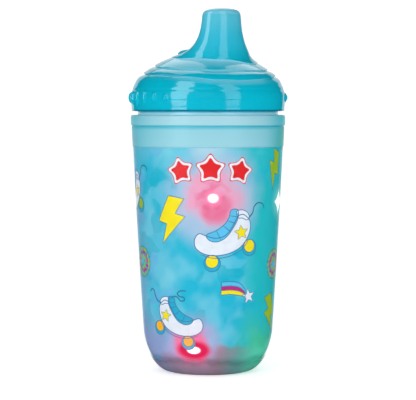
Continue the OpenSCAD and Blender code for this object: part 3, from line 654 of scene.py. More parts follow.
def lid_mesh():
    D = np.array(DOME, float)
    step = np.abs(np.diff(D[:, 0])) + np.abs(np.diff(D[:, 2])) + 0.5 * np.abs(np.diff(D[:, 1] + D[:, 3]))
    key = np.concatenate([[0], np.cumsum(step)])
    table_s = np.linspace(0, key[-1], 4000)
    table = np.stack([pchip(key, D[:, k], table_s) for k in range(5)], 1)
    table[:, 0] = np.maximum.accumulate(table[:, 0] + np.arange(4000) * 1e-9)

    def at(s, th):
        v = [np.interp(s, table_s, table[:, k]) for k in range(5)]
        return np.stack([v[2] * np.cos(th), v[1] + v[3] * np.sin(th), v[0] + v[4] * np.sin(th)], -1)

    fine = np.arange(-36.5, 36.5, 0.46)
    cols = np.concatenate([fine, np.linspace(36.5, 143.5, 100)[:-1], fine + 180, np.linspace(216.5, 323.5, 100)[:-1]])
    cols[0] = -36.5
    th = np.radians(np.unique(np.round(cols, 4)))
    n = len(th)
    phi = (np.degrees(th) + 116.0 + 180.0) % 360 - 180

    rows = []
    # skirt, with the grip ribs
    zs = np.concatenate([[128.5, 128.58, 128.7, 128.9, 129.2, 129.6, 130.1, 130.6], np.arange(131.0, 140.01, 0.33), [140.3, 140.7]])
    heights = [7.2, 6.4, 5.0, 3.4]
    for z in zs:
        r = np.full(n, float(pchip([q[0] for q in SKIRT], [q[1] for q in SKIRT], z)))
        deg = np.degrees(th)
        for side in (0, 180):
            for i in range(-3, 4):
                c = side + 10.5 * i
                du = np.radians(((deg - c + 180) % 360) - 180) * 38.0
                h = heights[abs(i)]
                q = (du / 1.28) ** 2 + (abs(z - 135.2) / (h / 2 + 0.15)) ** 2.6
                r = r + 1.15 * np.clip(1 - q, 0, 1) ** 0.55
        rows.append(np.stack([r * np.cos(th), r * np.sin(th), np.full(n, z)], -1))
    # dome, with rows that follow the swirl lines
    lines = []
    for a, zz, rad, w, (dp, dd) in LINES:
        zl = np.interp(phi, a, zz)
        k = 1 - rad * np.cos(np.radians(phi)) / 1000
        zl = 130 + (zl - 130) * k
        # gentle smoothing of the line round the cup
        order = np.argsort(phi)
        grid = np.linspace(-180, 180, 721)
        val = np.interp(grid, phi[order], zl[order], period=360)
        kern = np.hanning(41)
        kern /= kern.sum()
        val = np.convolve(np.concatenate([val[-60:], val, val[:60]]), kern, "same")[60:-60]
        lines.append((np.interp(phi, grid, val), w, np.interp(phi, dp, dd)))
    z_of = table[:, 0]
    s_of = lambda z: np.interp(z, z_of, table_s)
    levels, depth = [], []

    def span(za, zb, count, line=None, w=1.0, d=0.0):
        """Rows from height za up to zb, both arrays; near the top of the span the surface sinks by d"""
        sa, sb = s_of(za), s_of(zb)
        for i in range(count):
            t = (i + 1) / count
            if line is not None:
                t = 1 - (1 - t) ** 1.6
            s = sa + (sb - sa) * t
            zz = np.interp(s, table_s, z_of)
            dd = np.zeros(n)
            if line is not None:
                q = np.clip((line - zz) / w, 0, 1)
                dd = d * (1 - q) ** 2
            levels.append(s)
            depth.append(dd)

    low = np.full(n, 141.0)
    counts = (20, 16, 18)
    for (zl, w, d), c in zip(lines, counts):
        span(low, zl, c, zl, w, d)
        up = zl + 0.10
        levels.append(s_of(up))
        depth.append(np.zeros(n))
        levels.append(s_of(zl + 0.32))
        depth.append(-0.03 * (d / 0.5))
        low = zl + 0.45
    span(low, np.full(n, 155.9), 5)
    s0, s1 = s_of(np.full(n, 155.9)), table_s[-1]
    for i in range(54):
        t = (i + 1) / 54
        levels.append(s0 + (s1 - s0) * t)
        depth.append(np.zeros(n))
    e = 0.02
    for s, dd in zip(levels, depth):
        p = at(s, th)
        ps = at(np.minimum(s + e, table_s[-1]), th) - at(np.maximum(s - e, 0), th)
        pt = at(s, th + 1e-3) - at(s, th - 1e-3)
        nn = np.cross(pt, ps)
        nn /= np.maximum(np.linalg.norm(nn, axis=-1, keepdims=True), 1e-12)
        rows.append(p - nn * dd[:, None])
    grid = rows
    verts = list(np.vstack(grid))
    R = len(grid)
    faces = []
    for k in range(R - 1):
        a, b = k * n, (k + 1) * n
        for i in range(n):
            j = (i + 1) % n
            faces.append((a + i, a + j, b + j, b + i))
    pole = len(verts)
    verts.append(np.array([0, -15.1, 178.16]))
    a = (R - 1) * n
    for i in range(n):
        faces.append((a + i, a + (i + 1) % n, pole))
    # inside: skirt wall, seat of the seal, underside of the dome, channel up the spout
    inner = [(128.5, 0, 36.75, 36.75), (128.62, 0, 36.4, 36.4), (128.9, 0, 36.2, 36.2), (134, 0, 36.2, 36.2), (140.1, 0, 36.2, 36.2),
             (140.2, 0, 36.1, 36.1), (140.2, 0, 33.5, 33.5), (140.2, 0, 31.3, 31.3), (140.3, 0, 31.2, 31.2), (141.6, 0, 31.2, 31.2),
             (142.8, 0, 30.9, 30.9), (144.0, 0, 30.4, 30.4), (145.4, 0, 29.65, 29.65), (146.6, 0, 28.6, 28.6), (148.0, 0, 27.1, 27.1),
             (149.3, 0, 25.4, 25.4), (150.6, 0, 23.4, 23.4), (151.7, 0, 21.0, 21.2), (152.5, -1.0, 18.4, 18.4),
             (153.0, -3.2, 15.6, 15.8), (153.5, -6.6, 12.8, 13.0), (154.0, -9.9, 10.6, 10.6), (154.9, -12.3, 9.3, 8.9),
             (156.6, -13.4, 8.6, 7.6), (160, -14.1, 8.2, 6.4), (165, -14.6, 8.0, 5.3), (170, -14.9, 7.8, 4.8),
             (174, -15, 7.4, 4.4), (175.6, -15, 6.6, 3.7), (176.1, -15, 4.4, 2.2)]
    first = len(verts)
    for z, cy, a_, b_ in inner:
        verts.extend(np.stack([a_ * np.cos(th), cy + b_ * np.sin(th), np.full(n, z)], -1))
    M = len(inner)
    for i in range(n):
        j = (i + 1) % n
        faces.append((i, first + i, first + j, j))
        for k in range(M - 1):
            a, b = first + k * n, first + (k + 1) * n
            faces.append((a + i, b + i, b + j, a + j))
    pole2 = len(verts)
    verts.append(np.array([0, -15, 176.2]))
    a = first + (M - 1) * n
    for i in range(n):
        faces.append((a + i, pole2, a + (i + 1) % n))
    return np.array(verts), faces


def rod(x, y, z0, z1, r, n=24):
    v, f = revolve_data([(0, z0), (r, z0), (r, z1), (0, z1)], n)
    v[:, 0] += x
    v[:, 1] += y
    return v, f


lid = build("lid_body", *lid_mesh(), MAT["lid"], None, angle=38)
cutter = build("cutter", *merge([rod(x, -15, 172.5, 182, 1.0) for x in (-4.6, 0, 4.6)] + [rod(0, 13.5, 149, 160.5, 0.8)]), MAT["lid"], None)
mod = lid.modifiers.new("holes", "BOOLEAN")
mod.operation, mod.solver, mod.object = "DIFFERENCE", "EXACT", cutter
bpy.context.view_layer.update()
cut = bpy.data.meshes.new_from_object(lid.evaluated_get(bpy.context.evaluated_depsgraph_get()))
lid.modifiers.clear()
lid.data = cut
bpy.data.objects.remove(cutter)
cut.polygons.foreach_set("use_smooth", np.ones(len(cut.polygons), bool))
cut.set_sharp_from_angle(angle=math.radians(38))
cut.materials.clear()
cut.materials.append(MAT["lid"])
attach(lid, "lid")
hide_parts("spout_lid")

# raised boss round the air vent, with its hole open
boss_line = soften([(0.8, -4.5), (9.7, -4.5), (9.6, 0.4), (8.9, 3.9), (7.6, 4.7), (6.2, 4.1), (2.0, 4.0), (0.8, 3.7)], 0.7, 5)
v, f = revolve_data(boss_line, 96)
tilt = np.array(Matrix.Rotation(math.radians(-6.4), 3, "X"))
v = v @ tilt.T + np.array([0, 13.5, 154.2])
v[:, 2] = np.where(v[:, 2] < 153.2, 153.2 - (153.2 - v[:, 2]) * 0.05, v[:, 2])
build("lid_vent_boss", v, f, MAT["lid_plain"], "lid", "lid_teal")

sockets = []
for y, r0, r1 in ((-13.5, 8.4, 9.8), (13.5, 4.5, 5.9)):
    v, f = revolve_data(soften([(r0, 141.0), (r1, 141.0), (r1, 148.6), (r1, 152.6), (r0, 152.6), (r0, 148.6)], 0.35, 4), 96)
    v[:, 1] += y
    if y < 0:  # the outer front of the big socket stays inside the dome
        d = np.hypot(v[:, 0], v[:, 1])
        lim = 24.6 - np.clip(v[:, 2] - 149.0, 0, 10) * 1.1
        k = np.minimum(1, lim / np.maximum(d, 1e-6))
        v[:, 0] *= k
        v[:, 1] *= k
    sockets.append((v, f))
build("lid_sockets", *merge(sockets), MAT["lid_plain"], "lid", "lid_teal")


def helix(r0, r1, z0, a0, sweep, lead=8.0, n=None):
    """A tapered thread ridge from radius r0, into the wall, to r1."""
    n = n or int(sweep / 3)
    s = 1 if r1 > r0 else -1
    verts, faces = [], []
    m = 8
    for i in range(n + 1):
        t = i / n
        a = math.radians(a0 + sweep * t)
        z = z0 + lead * sweep * t / 360
        k = 0.06 + 0.94 * float(smooth01(min(i, n - i) / 5))
        rt, ra = r0 + (r1 - r0) * k, r0 - s * 0.4
        shape = [(ra, -1.05), (r0, -0.9), (r0 + (rt - r0) * 0.75, -0.62), (rt, -0.34), (rt, 0.34), (r0 + (rt - r0) * 0.75, 0.62), (r0, 0.9), (ra, 1.05)]
        verts.extend([(r * math.cos(a), r * math.sin(a), z + q) for r, q in shape])
    for i in range(n):
        for j in range(m):
            a, b = m * i + j, m * i + (j + 1) % m
            faces.append((a, b, b + m, a + m))
    faces.append(tuple(range(m)))
    faces.append(tuple(range(m * n, m * n + m))[::-1])
    return np.array(verts), faces


build("lid_thread", *merge([helix(36.2, 35.0, 129.9, 20 + 180 * s + 49.5, 200) for s in (0, 1)]), MAT["lid"], "lid", "lid_teal")

# ---------------------------------------------------------------- seal and valve
v, f = revolve_data(soften([(31.6, 139.0), (35.85, 139.0), (35.85, 140.2), (31.6, 140.2)], 0.3, 4), 160)
build("seal_ring", v, f, MAT["white_silicone"], "seal", "silicone_white", ["lid_seal"])

# ---------------------------------------------------------------- the cup
foot = [(float(out_r(z)), z) for z in 21.3 - 21.3 * np.cos(np.linspace(math.radians(13.5), math.pi / 2, 26))]
wall = [(float(out_r(z)), z) for z in np.linspace(24, 119.8, 34)]
collar = [(37.68, 120.5), (37.62, 121.0), (37.46, 121.25), (37.44, 121.45), (37.62, 121.56), (37.86, 121.64), (38.02, 121.8), (38.1, 122.1),
          (38.12, 123.0), (38.12, 125.6), (38.06, 126.1), (37.86, 126.48), (37.5, 126.68), (37.0, 126.72)]
inner_side = [(36.9, 126.6), (36.9, 124.1), (float(wall_r(122)) - SHELL_T - 0.05, 124.1)]
inner_side += [(float(in_r(z)), z) for z in np.linspace(116, 24, 24)]
inner_side += [(float(in_r(z)), z) for z in 21.3 - 19.2 * np.sin(np.linspace(0, math.pi / 2, 20))]
inner_side += [(19.2, 2.2), (19.2, 5.2), (14.5, 5.2), (14.5, 3.7), (17.6, 3.7)]
foot0 = [(17.6, 0.25), (17.85, 0.0), (19.2, 0.0), (19.7, 0.12)]
prof = foot0 + foot + wall + collar + inner_side
build("outer_wall", *revolve_data(prof, 240), MAT["shell"], "cup", "shell_frosted", ["outer_shell"], angle=40)

liner_prof = [(0, 18.5)] + [(float(liner_out(z)), z) for z in 18.5 + 13.5 * (1 - np.cos(np.linspace(0.06, math.pi / 2, 18)))]
liner_prof += [(float(liner_out(z)), z) for z in np.linspace(36, 122, 24)]
liner_prof += [(float(liner_out(122)), 124.2), (36.8, 124.2), (36.8, 126.7), (34.9, 126.72), (34.62, 126.95), (34.6, 127.3), (34.6, 138.4),
               (34.45, 138.8), (34.1, 139.0), (32.9, 139.0), (32.55, 138.85), (32.4, 138.5)]
liner_prof += [(float(liner_in(z)), z) for z in np.linspace(120, 36, 24)]
liner_prof += [(float(liner_in(z)), z) for z in 20 + 12 * (1 - np.sin(np.linspace(0, math.pi / 2 - 0.06, 18)))]
liner_prof += [(0, 20.0)]
build("inner_wall", *revolve_data(liner_prof, 200), MAT["liner"], "cup", "inner_clear", ["inner_cup"], angle=40)
build("neck_thread", *merge([helix(34.6, 35.8, 130.5, 20 + 180 * s, 280) for s in (0, 1)]), MAT["liner"], "cup", "inner_clear")

zs = np.concatenate([np.linspace(3.6, 21.3, 26), np.linspace(24, 111.4, 44)])
film_prof = [(float(film_r(z)), z) for z in zs] + [(float(film_r(z)) - 0.25, z) for z in zs[::-1]]
build("print_film", *revolve_data(film_prof, 256), MAT["film"], "cup", "printed_film", ["print_sleeve"], angle=50)

# ---------------------------------------------------------------- what is printed on the film
LAYER = {}


def put(kind, verts, faces):
    LAYER.setdefault(kind, []).append((verts, faces))


def to_film(xy, phi0, z0, lift):
    xy = np.asarray(xy, float)
    z = z0 + xy[:, 1]
    z = np.clip(z, 12.0, 111.2)
    r = film_r(z)
    p = around(phi0 + np.degrees(xy[:, 0] / (r + 0.001)), r + lift)
    return np.column_stack([p, z])


def inside(poly, pts):
    x, y = pts[:, 0], pts[:, 1]
    hit = np.zeros(len(pts), bool)
    for (x0, y0), (x1, y1) in zip(poly, np.roll(poly, -1, axis=0)):
        c = (y0 > y) != (y1 > y)
        with np.errstate(divide="ignore", invalid="ignore"):
            hit ^= c & (x < (x1 - x0) * (y - y0) / (y1 - y0) + x0)
    return hit


def dense(poly, step=1.2, closed=True):
    p = np.asarray(poly, float)
    out = []
    q = np.vstack([p, p[:1]]) if closed else p
    for a, b in zip(q[:-1], q[1:]):
        k = max(1, int(math.ceil(np.linalg.norm(b - a) / step)))
        out.extend([a + (b - a) * t / k for t in range(k)])
    if not closed:
        out.append(q[-1])
    return np.array(out)


def patch(kind, poly, phi0, z0, level, step=1.6):
    """A filled shape, as a thin closed plate bent on to the film."""
    line = dense(poly, 1.2)
    lo, hi = line.min(0), line.max(0)
    gx, gy = np.meshgrid(np.arange(lo[0] + 0.6, hi[0], step), np.arange(lo[1] + 0.6, hi[1], step))
    pts = np.column_stack([gx.ravel(), gy.ravel()])
    pts = pts[inside(line, pts)]
    if len(pts):
        d = np.min(np.hypot(pts[:, None, 0] - line[None, :, 0], pts[:, None, 1] - line[None, :, 1]), axis=1)
        pts = pts[d > 0.55]
    n = len(line)
    allp = np.vstack([line, pts]) if len(pts) else line
    res = delaunay_2d_cdt([Vector(p) for p in allp], [], [list(range(n))], 1, 1e-5)
    v2 = np.array([tuple(p) for p in res[0]])
    tris = [tuple(t) for t in res[2]]
    if not tris:
        return
    N = len(v2)
    top = to_film(v2, phi0, z0, 0.022 + 0.016 * level)
    bot = to_film(v2, phi0, z0, -0.05)
    faces = list(tris) + [tuple(N + i for i in reversed(t)) for t in tris]
    edges = {}
    for t in tris:
        for i in range(len(t)):
            a, b = t[i], t[(i + 1) % len(t)]
            if (b, a) in edges:
                edges.pop((b, a))
            else:
                edges[(a, b)] = True
    faces += [(b, a, N + a, N + b) for a, b in edges]
    put(kind, np.vstack([top, bot]), faces)


def stroke(kind, path, width, phi0, z0, level, closed=False):
    """A drawn line, as a thin closed band bent on to the film. Its ends taper."""
    p = dense(path, 0.9, closed)
    n = len(p)
    prev, nxt = np.roll(p, 1, axis=0), np.roll(p, -1, axis=0)
    if not closed:
        prev[0], nxt[-1] = p[0], p[-1]
    t = nxt - prev
    t /= np.maximum(np.linalg.norm(t, axis=1, keepdims=True), 1e-9)
    w = np.full(n, width / 2)
    if not closed:
        k = np.minimum(np.arange(n), np.arange(n)[::-1])
        w *= np.clip(0.35 + k * 0.35, 0, 1)
    nn = np.column_stack([-t[:, 1], t[:, 0]]) * w[:, None]
    h = 0.022 + 0.016 * level
    rings = [to_film(p + nn, phi0, z0, h), to_film(p - nn, phi0, z0, h), to_film(p - nn, phi0, z0, -0.05), to_film(p + nn, phi0, z0, -0.05)]
    verts = np.stack(rings, 1).reshape(-1, 3)
    faces = []
    for i in range(n if closed else n - 1):
        a, b = 4 * i, 4 * ((i + 1) % n)
        for j in range(4):
            k = (j + 1) % 4
            faces.append((a + j, a + k, b + k, b + j))
    if not closed:
        faces += [(0, 1, 2, 3), tuple(4 * (n - 1) + j for j in (3, 2, 1, 0))]
    put(kind, verts, faces)


def curve(points, n=8, closed=False):
    """Catmull-Rom through the points."""
    p = np.asarray(points, float)
    m = len(p)
    out = []
    for i in range(m if closed else m - 1):
        a = p[(i - 1) % m] if closed or i > 0 else p[i]
        b, c = p[i], p[(i + 1) % m]
        d = p[(i + 2) % m] if closed or i + 2 < m else c
        for k in range(n):
            t = k / n
            out.append(0.5 * (2 * b + (c - a) * t + (2 * a - 5 * b + 4 * c - d) * t * t + (3 * b - a - 3 * c + d) * t ** 3))
    if not closed:
        out.append(p[-1])
    return np.array(out)


def turn(p, deg, scale=1.0, flip=False, move=(0, 0)):
    p = np.asarray(p, float) * scale
    if flip:
        p = p * np.array([-1, 1])
    a = math.radians(deg)
    return p @ np.array([[math.cos(a), math.sin(a)], [-math.sin(a), math.cos(a)]]) + np.array(move)


def star(r, inner=0.45, n=5, rot=90):
    out = []
    for i in range(2 * n):
        a = math.radians(rot + 180 * i / n)
        k = r if i % 2 == 0 else r * inner
        out.append((k * math.cos(a), k * math.sin(a)))
    return np.array(out)


def disc(r, n=28, sx=1.0, c=(0, 0)):
    a = np.linspace(0, 2 * np.pi, n, endpoint=False)
    return np.column_stack([c[0] + r * sx * np.cos(a), c[1] + r * np.sin(a)])


def soft_star(r, rot=90, inner=0.5, k=0.32):
    s = star(r, inner, 5, rot)
    return np.array(soften(s, r * k, 6))


def big_star(phi0, z0, r, rot):
    patch("red", soft_star(r * 1.0, rot, 0.56), phi0, z0, 0)
    patch("white", soft_star(r * 0.92, rot, 0.56), phi0, z0, 1)
    patch("red", soft_star(r * 0.72, rot, 0.52), phi0, z0, 2)


def bolt(phi0, z0, s=1.0, rot=0.0, flip=False, kind="yellow"):
    shape = [(-1.6, 12), (6.9, 10.9), (2.4, 3.4), (7.8, 2.2), (-4.6, -12.2), (-2.3, -2.1), (-7.2, -0.9)]
    q = turn(shape, rot, s, flip)
    patch(kind, q, phi0, z0, 1)
    stroke("line", q, 0.34, phi0, z0, 2, True)


def rollerskate(phi0, z0, s=1.0, rot=0.0, flip=False, wheel="yellow", tongue="sky", lace="curl"):
    """A plain skate boot with a striped tongue, a star and two wheels."""
    def T(p):
        q = np.array(p, float)
        q[:, 1] = np.where(q[:, 1] > 4, 4 + (q[:, 1] - 4) * 0.78, q[:, 1])
        return turn(q, rot, s, flip)
    boot = curve([(10.0, 11.5), (7.2, 10.6), (5.6, 7.4), (3.6, 3.2), (0.4, -0.4), (-4.2, -1.6), (-8.6, -0.6), (-12.4, 0.6), (-14.6, -2.4),
                  (-13.8, -6.6), (-9.6, -9.4), (-3.4, -10.2), (3.6, -8.8), (9.6, -5.4), (13.2, -0.2), (14.2, 4.4), (13.2, 8.4)], 5, True)
    patch("white", T(boot), phi0, z0, 0)
    stroke("line", T(boot), 0.42, phi0, z0, 3, True)
    cuff = curve([(6.4, 13.6), (9.4, 14.4), (12.4, 12.6), (13.4, 9.4), (11.8, 8.0), (9.6, 9.2), (7.0, 9.6)], 6, True)
    patch("white", T(cuff), phi0, z0, 1)
    stroke("line", T(cuff), 0.36, phi0, z0, 3, True)
    flap = curve([(3.4, 14.4), (6.7, 14.6), (7.2, 10.2), (5.8, 5.8), (3.4, 1.6), (0.2, -1.8), (-3.8, -3.4), (-7.4, -2.6), (-8.8, 0.0),
                  (-5.2, 1.6), (-2.0, 3.4), (0.6, 6.2), (2.4, 10.0)], 5, True)
    patch(tongue, T(flap), phi0, z0, 1)
    stroke("line", T(flap), 0.38, phi0, z0, 3, True)
    for a, b in (((2.6, 10.9), (7.2, 10.0)), ((1.5, 7.8), (6.2, 5.8)), ((-0.8, 4.8), (3.4, 1.4)), ((-4.0, 2.2), (-1.6, -2.6))):
        stroke("line", T([a, b]), 0.36, phi0, z0, 3)
    patch("yellow", T(turn(star(3.9), 8, move=(9.0, 1.0))), phi0, z0, 1)
    stroke("line", T(turn(star(4.0), 8, move=(9.0, 1.0))), 0.22, phi0, z0, 3, True)
    sole = curve([(-11.6, -9.6), (-5.0, -11.5), (2.6, -10.6), (9.4, -7.2), (13.6, -2.0)], 6)
    stroke("line", T(sole), 0.34, phi0, z0, 3)
    for c in ((-5.8, -14.0), (13.8, -6.6)):
        patch("deep", T(disc(4.1, c=c)), phi0, z0, 1)
        stroke("line", T(disc(4.1, c=c)), 0.34, phi0, z0, 3, True)
        patch(wheel, T(disc(3.15, c=(c[0] - 0.1, c[1] + 0.9))), phi0, z0, 2)
        stroke("line", T(disc(3.15, c=(c[0] - 0.1, c[1] + 0.9))), 0.3, phi0, z0, 3, True)
    if lace == "curl":
        stroke("lace", T(curve([(13.0, 9.2), (15.4, 12.4), (16.4, 16.4), (19.0, 18.6), (22.2, 17.6), (23.4, 14.6)], 7)), 0.62, phi0, z0, 2)
    else:
        stroke("lace", T(curve([(12.4, 9.4), (15.6, 10.6), (17.6, 14.0), (18.8, 17.6), (21.0, 18.8), (22.6, 16.4)], 7)), 0.62, phi0, z0, 2)
        stroke("lace", T(curve([(5.4, 13.4), (2.8, 15.2), (0.6, 14.4), (-1.0, 12.2), (-3.4, 12.6), (-3.0, 15.0), (-0.6, 15.4), (1.0, 17.4), (-1.0, 19.6), (-4.6, 19.8)], 7)), 0.6, phi0, z0, 2)


def comet(phi0, z0, s=1.0, rot=0.0, flip=False):
    def T(p):
        return turn(p, rot, s, flip)
    rails = []
    for off in (4.3, 2.1, 0.0, -2.2):
        rails.append(curve([(-8.6, off + 0.3), (-3.4, off + 0.5), (1.2, off - 0.3 * (1 + off * 0.15)), (4.6, off * 0.55 - 2.0)], 6))
    for kind, a, b in (("sky", 0, 1), ("magenta", 1, 2), ("yellow", 2, 3)):
        band = np.vstack([rails[a], rails[b][::-1]])
        patch(kind, T(band), phi0, z0, 0)
    outline = np.vstack([rails[0], rails[3][::-1]])
    stroke("lace", T(outline), 0.34, phi0, z0, 2, True)
    for r in rails[1:3]:
        stroke("lace", T(r), 0.3, phi0, z0, 2)
    c = turn(star(4.1, 0.42), 10, move=(6.6, -3.0))
    patch("white", T(c), phi0, z0, 1)
    stroke("line", T(c), 0.26, phi0, z0, 3, True)


def rosette(phi0, z0, s=1.0):
    patch("deep", disc(7.4 * s, 44), phi0, z0, 0)
    local = np.random.default_rng(int(phi0 + 400))
    k = 0
    for ring, count in ((6.5, 17), (4.6, 13), (2.8, 8), (1.0, 3)):
        for i in range(count):
            a = 2 * math.pi * (i + 0.5 * local.random() + 0.2 * ring) / count
            c = (ring * s * math.cos(a), ring * s * math.sin(a))
            kind = ("lime", "magenta", "yellow", "magenta", "sky", "red")[(k * 5 + i) % 6]
            w, h = 0.85 + 0.35 * local.random(), 0.55 + 0.25 * local.random()
            patch(kind, turn([(-w, -h), (w, -h * 1.15), (w * 0.9, h), (-w * 0.85, h * 0.9)], math.degrees(a) + 90 * local.random(), s, move=c), phi0, z0, 1)
            k += 1
    stroke("line", disc(7.4 * s, 44), 0.34, phi0, z0, 3, True)


def swirl(phi0, z0, s=1.0, flip=False):
    stroke("lace", turn(curve([(-7, -5), (-5.6, 1.6), (-2.6, 4.6), (0.2, 2.2), (0.4, -2.0), (3.2, -3.4), (5.6, -0.4), (7.2, 4.4)], 7), 0, s, flip), 0.6, phi0, z0, 1)


big_star(1.9, 100.9, 8.6, 90)
big_star(-21.2, 100.0, 7.9, 102)
big_star(25.0, 100.0, 7.9, 78)
bolt(-30.6, 76.4, 0.98, -3)
bolt(62.0, 100.6, 0.80, -26, True, "lime")
bolt(68.5, 29.6, 0.86, 8, True, "lime")
rollerskate(12.9, 69.4, 0.98, 0)
rollerskate(-25.8, 28.8, 0.83, -2, True, "orange", "deep", "loops")
comet(25.2, 42.2, 0.96, 0)
rosette(-68.5, 55.2)
rosette(70.5, 54.0)
rollerskate(-86.5, 88.8, 0.88, 0, False, "lime", "sky", "curl")
# the same style goes on round the back
bolt(112.0, 80.0, 0.95, 8)
rollerskate(150.0, 66.0, 0.83, 4, False, "yellow", "sky", "curl")
comet(128.0, 38.0, 1.0, 4)
big_star(176.0, 98.0, 6.0, 90)
rollerskate(-158.0, 34.0, 0.68, -10, True, "orange", "deep", "loops")
bolt(-136.0, 66.0, 0.95, -6)
comet(-120.0, 34.0, 0.95, -4, True)
rosette(-168.0, 64.0, 0.9)
swirl(120.0, 102.0, 0.9)
swirl(-140.0, 98.0, 0.9, True)

for kind, parts in LAYER.items():
    build("print_" + kind, *merge(parts), INK[kind], "cup", "printed_film", angle=60)

# ---------------------------------------------------------------- underneath
for nm, prof_, mat, body, slot, node_ in (
    ("push_button", [(0, 1.35), (3.4, 1.2), (5.4, 1.12), (6.2, 1.2), (6.5, 1.6), (6.5, 2.95), (8.1, 2.95), (8.1, 3.75), (2.2, 3.75), (2.2, 6.0), (0, 6.0)],
     "button", "button", "button_soft", "light_button"),
    ("base_seal", soften([(14.7, 2.92), (17.1, 2.92), (17.1, 3.68), (14.7, 3.68)], 0.2, 3), "white_silicone", "cup", "silicone_white", "base_gasket"),
):
    build(nm, *revolve_data(prof_, 120), MAT[mat], body, slot, [node_])

# the return spring, a round wire coil; the real one closes as the button goes in, this mesh keeps one shape
wire_v, wire_f = [], []
turns_, seg, m_ = 5.0, 300, 14
for i in range(seg + 1):
    t = i / seg
    a = 2 * math.pi * turns_ * t
    z_ = 4.06 + (10.72 - 4.06) * float(np.clip((t - 0.12) / 0.76, 0, 1))
    for j in range(m_):
        b = 2 * math.pi * j / m_
        r_ = 4.75 + 0.25 * math.cos(b)
        wire_v.append((r_ * math.cos(a), r_ * math.sin(a), z_ + 0.25 * math.sin(b)))
for i in range(seg):
    for j in range(m_):
        a, b = i * m_ + j, i * m_ + (j + 1) % m_
        wire_f.append((a, b, b + m_, a + m_))
wire_f.append(tuple(range(m_))[::-1])
wire_f.append(tuple(range(seg * m_, seg * m_ + m_)))
spring = build("return_spring", wire_v, wire_f, MAT["spring"], "cup", "spring_steel", ["button_spring"], angle=60)
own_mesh(spring)

cap_v, cap_f = revolve_data(soften([(6.8, 1.2), (7.1, 0.9), (12.0, 0.9), (15.4, 0.9), (15.6, 1.15), (16.0, 1.15), (16.2, 0.9), (16.8, 0.9), (17.3, 1.4), (17.3, 2.9), (6.8, 2.9)], 0.18, 3), 180)
cap = build("foot_cap", cap_v, cap_f, MAT["cap"], None)
cuts = []
for a in (90, 210, 330):
    x, y = 11.8 * math.cos(math.radians(a)), 11.8 * math.sin(math.radians(a))
    v, f = revolve_data([(0, -1), (2.4, -1), (2.4, 2.15), (1.4, 2.15), (1.4, 5), (0, 5)], 40)
    v[:, 0] += x
    v[:, 1] += y
    cuts.append((v, f))
cutter = build("cutter", *merge(cuts), MAT["cap"], None)
mod = cap.modifiers.new("holes", "BOOLEAN")
mod.operation, mod.solver, mod.object = "DIFFERENCE", "EXACT", cutter
bpy.context.view_layer.update()
cut = bpy.data.meshes.new_from_object(cap.evaluated_get(bpy.context.evaluated_depsgraph_get()))
cap.modifiers.clear()
cap.data = cut
bpy.data.objects.remove(cutter)
cut.polygons.foreach_set("use_smooth", np.ones(len(cut.polygons), bool))
cut.set_sharp_from_angle(angle=math.radians(35))
cut.materials.clear()
cut.materials.append(MAT["cap"])
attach(cap, "cup")
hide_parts("base_cap")

# ---------------------------------------------------------------- CAD pieces that are shown as they are
CAD_LOOK = {
    "flow_valve": "silicone", "led_strip_front": "strip", "led_strip_right": "strip", "led_strip_left": "strip",
    "red_leds": "red_led", "green_leds": "green_led", "blue_leds": "blue_led", "circuit_board": "board", "controller_chip": "chip",
    "chip_resistors": "resistor", "switch_body": "metal", "switch_plunger": "plunger", "button_cells": "cell", "cell_clips": "clip",
    "cell_pads": "gold", "module_cover": "module", "module_tray": "module", "base_screws": "screw"}
for node_, key_ in CAD_LOOK.items():
    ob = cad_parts[node_]
    ob.data.materials.clear()
    ob.data.materials.append(MAT[key_])
    ob.data.polygons.foreach_set("use_smooth", np.ones(len(ob.data.polygons), bool))
    ob.data.set_sharp_from_angle(angle=math.radians(32))

# ---------------------------------------------------------------- floor, light and camera
def plain(name, color, strength=0.0, rough=0.9):
    g = Graph(name)
    tone = g.noise(g.mm(), 0.004, 1.0)
    col = g.mix(g.fit(tone, 0.3, 0.7, 0, 0.3), color, tuple(c * 0.985 for c in color[:3]) + (1,))
    return g.out(g.principled(col, rough, Emission_Color=(1, 1, 1, 1), Emission_Strength=strength, Specular_IOR_Level=0.0))


floor_prof = [(-4.0, 0.0), (2.2, 0.0)] + [(2.2 + 1.2 * math.sin(a), 1.2 - 1.2 * math.cos(a)) for a in np.linspace(0.15, math.pi / 2, 14)] + [(3.4, 5.0)]
fv, ff = [], []
for i, (d, z) in enumerate(floor_prof):
    for s in (-6, 6):
        c = -FRONT * d + RIGHT * s
        fv.append((c[0] * 1000, c[1] * 1000, z * 1000 - 0.05))
    if i:
        ff.append((2 * i - 2, 2 * i - 1, 2 * i + 1, 2 * i))
floor = build("studio_floor", fv, ff, plain("studio_white", (0.86, 0.86, 0.86, 1), 0.52), None, recalc=False)
floor.visible_glossy = False


def card(name, centre, size, aim, strength, color=(1, 1, 1, 1)):
    """A white card that only shows in reflections."""
    g = Graph(name)
    em = g.add("Emission")
    em.inputs["Color"].default_value = color
    em.inputs["Strength"].default_value = strength
    w, h = size
    me = bpy.data.meshes.new(name)
    me.from_pydata([(-w / 2, -h / 2, 0), (w / 2, -h / 2, 0), (w / 2, h / 2, 0), (-w / 2, h / 2, 0)], [], [(0, 1, 2, 3)])
    me.materials.append(g.out(em.outputs[0]))
    ob = bpy.data.objects.new(name, me)
    scene.collection.objects.link(ob)
    ob.location = centre
    ob.rotation_euler = (Vector(aim) - Vector(centre)).to_track_quat("Z", "Y").to_euler()
    ob.visible_camera = False
    ob.visible_diffuse = False
    ob.visible_transmission = False
    ob.visible_shadow = False
    return ob


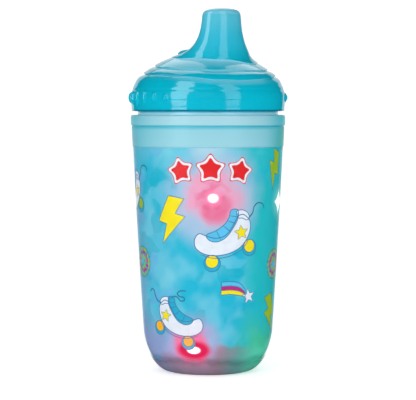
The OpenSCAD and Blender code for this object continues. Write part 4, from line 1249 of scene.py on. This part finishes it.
def lamp(name, centre, size, power, aim=(0, 0, 0.1)):
    li = bpy.data.lights.new(name, "AREA")
    li.shape, li.size, li.size_y, li.energy = "RECTANGLE", size[0], size[1], power
    ob = bpy.data.objects.new(name, li)
    scene.collection.objects.link(ob)
    ob.location = centre
    ob.rotation_euler = (Vector(aim) - Vector(centre)).to_track_quat("-Z", "Y").to_euler()
    ob.visible_glossy = False
    ob.visible_camera = False
    return ob


def at_az(deg, dist, z):
    p = around(np.array(float(deg)), np.array(dist))
    return (float(p[0]), float(p[1]), z)


card("card_left", at_az(-43, 1.0, 0.62), (0.50, 1.55), (0, 0, 0.30), 3.9)
card("card_right", at_az(37, 1.0, 0.62), (0.46, 1.55), (0, 0, 0.30), 1.8)
card("card_top", at_az(180, 0.72, 1.10), (0.95, 1.0), (0, 0, 0.14), 1.9)
card("card_back", at_az(180, 1.5, 0.25), (1.9, 1.3), (0, 0, 0.12), 0.9)
lamp("key_front", at_az(-12, 1.1, 0.55), (0.9, 0.9), 6.0)
lamp("key_low", at_az(14, 1.2, 0.10), (0.8, 0.5), 1.3)

world = bpy.data.worlds.new("studio")
scene.world = world
world.use_nodes = True
wt = world.node_tree
wt.nodes.clear()
path = wt.nodes.new("ShaderNodeLightPath")
bg = wt.nodes.new("ShaderNodeBackground")
bg.inputs["Color"].default_value = (1, 1, 1, 1)
mul = wt.nodes.new("ShaderNodeMapRange")
mul.inputs[3].default_value, mul.inputs[4].default_value = 0.47, 1.0
wt.links.new(path.outputs["Is Camera Ray"], mul.inputs[0])
wt.links.new(mul.outputs[0], bg.inputs["Strength"])
wo = wt.nodes.new("ShaderNodeOutputWorld")
wt.links.new(bg.outputs[0], wo.inputs["Surface"])
world.cycles_visibility.glossy = False

scene.view_settings.view_transform = "Standard"

cam_data = bpy.data.cameras.new("camera")
cam_data.lens, cam_data.sensor_width = 175.0, 36.0
cam_data.clip_start, cam_data.clip_end = 0.05, 50
cam = bpy.data.objects.new("camera", cam_data)
scene.collection.objects.link(cam)
cam.location = (FRONT[0], FRONT[1], 0.130)
cam.rotation_euler = (Vector((0, 0, 0.0846)) - Vector(cam.location)).to_track_quat("-Z", "Y").to_euler()
scene.camera = cam
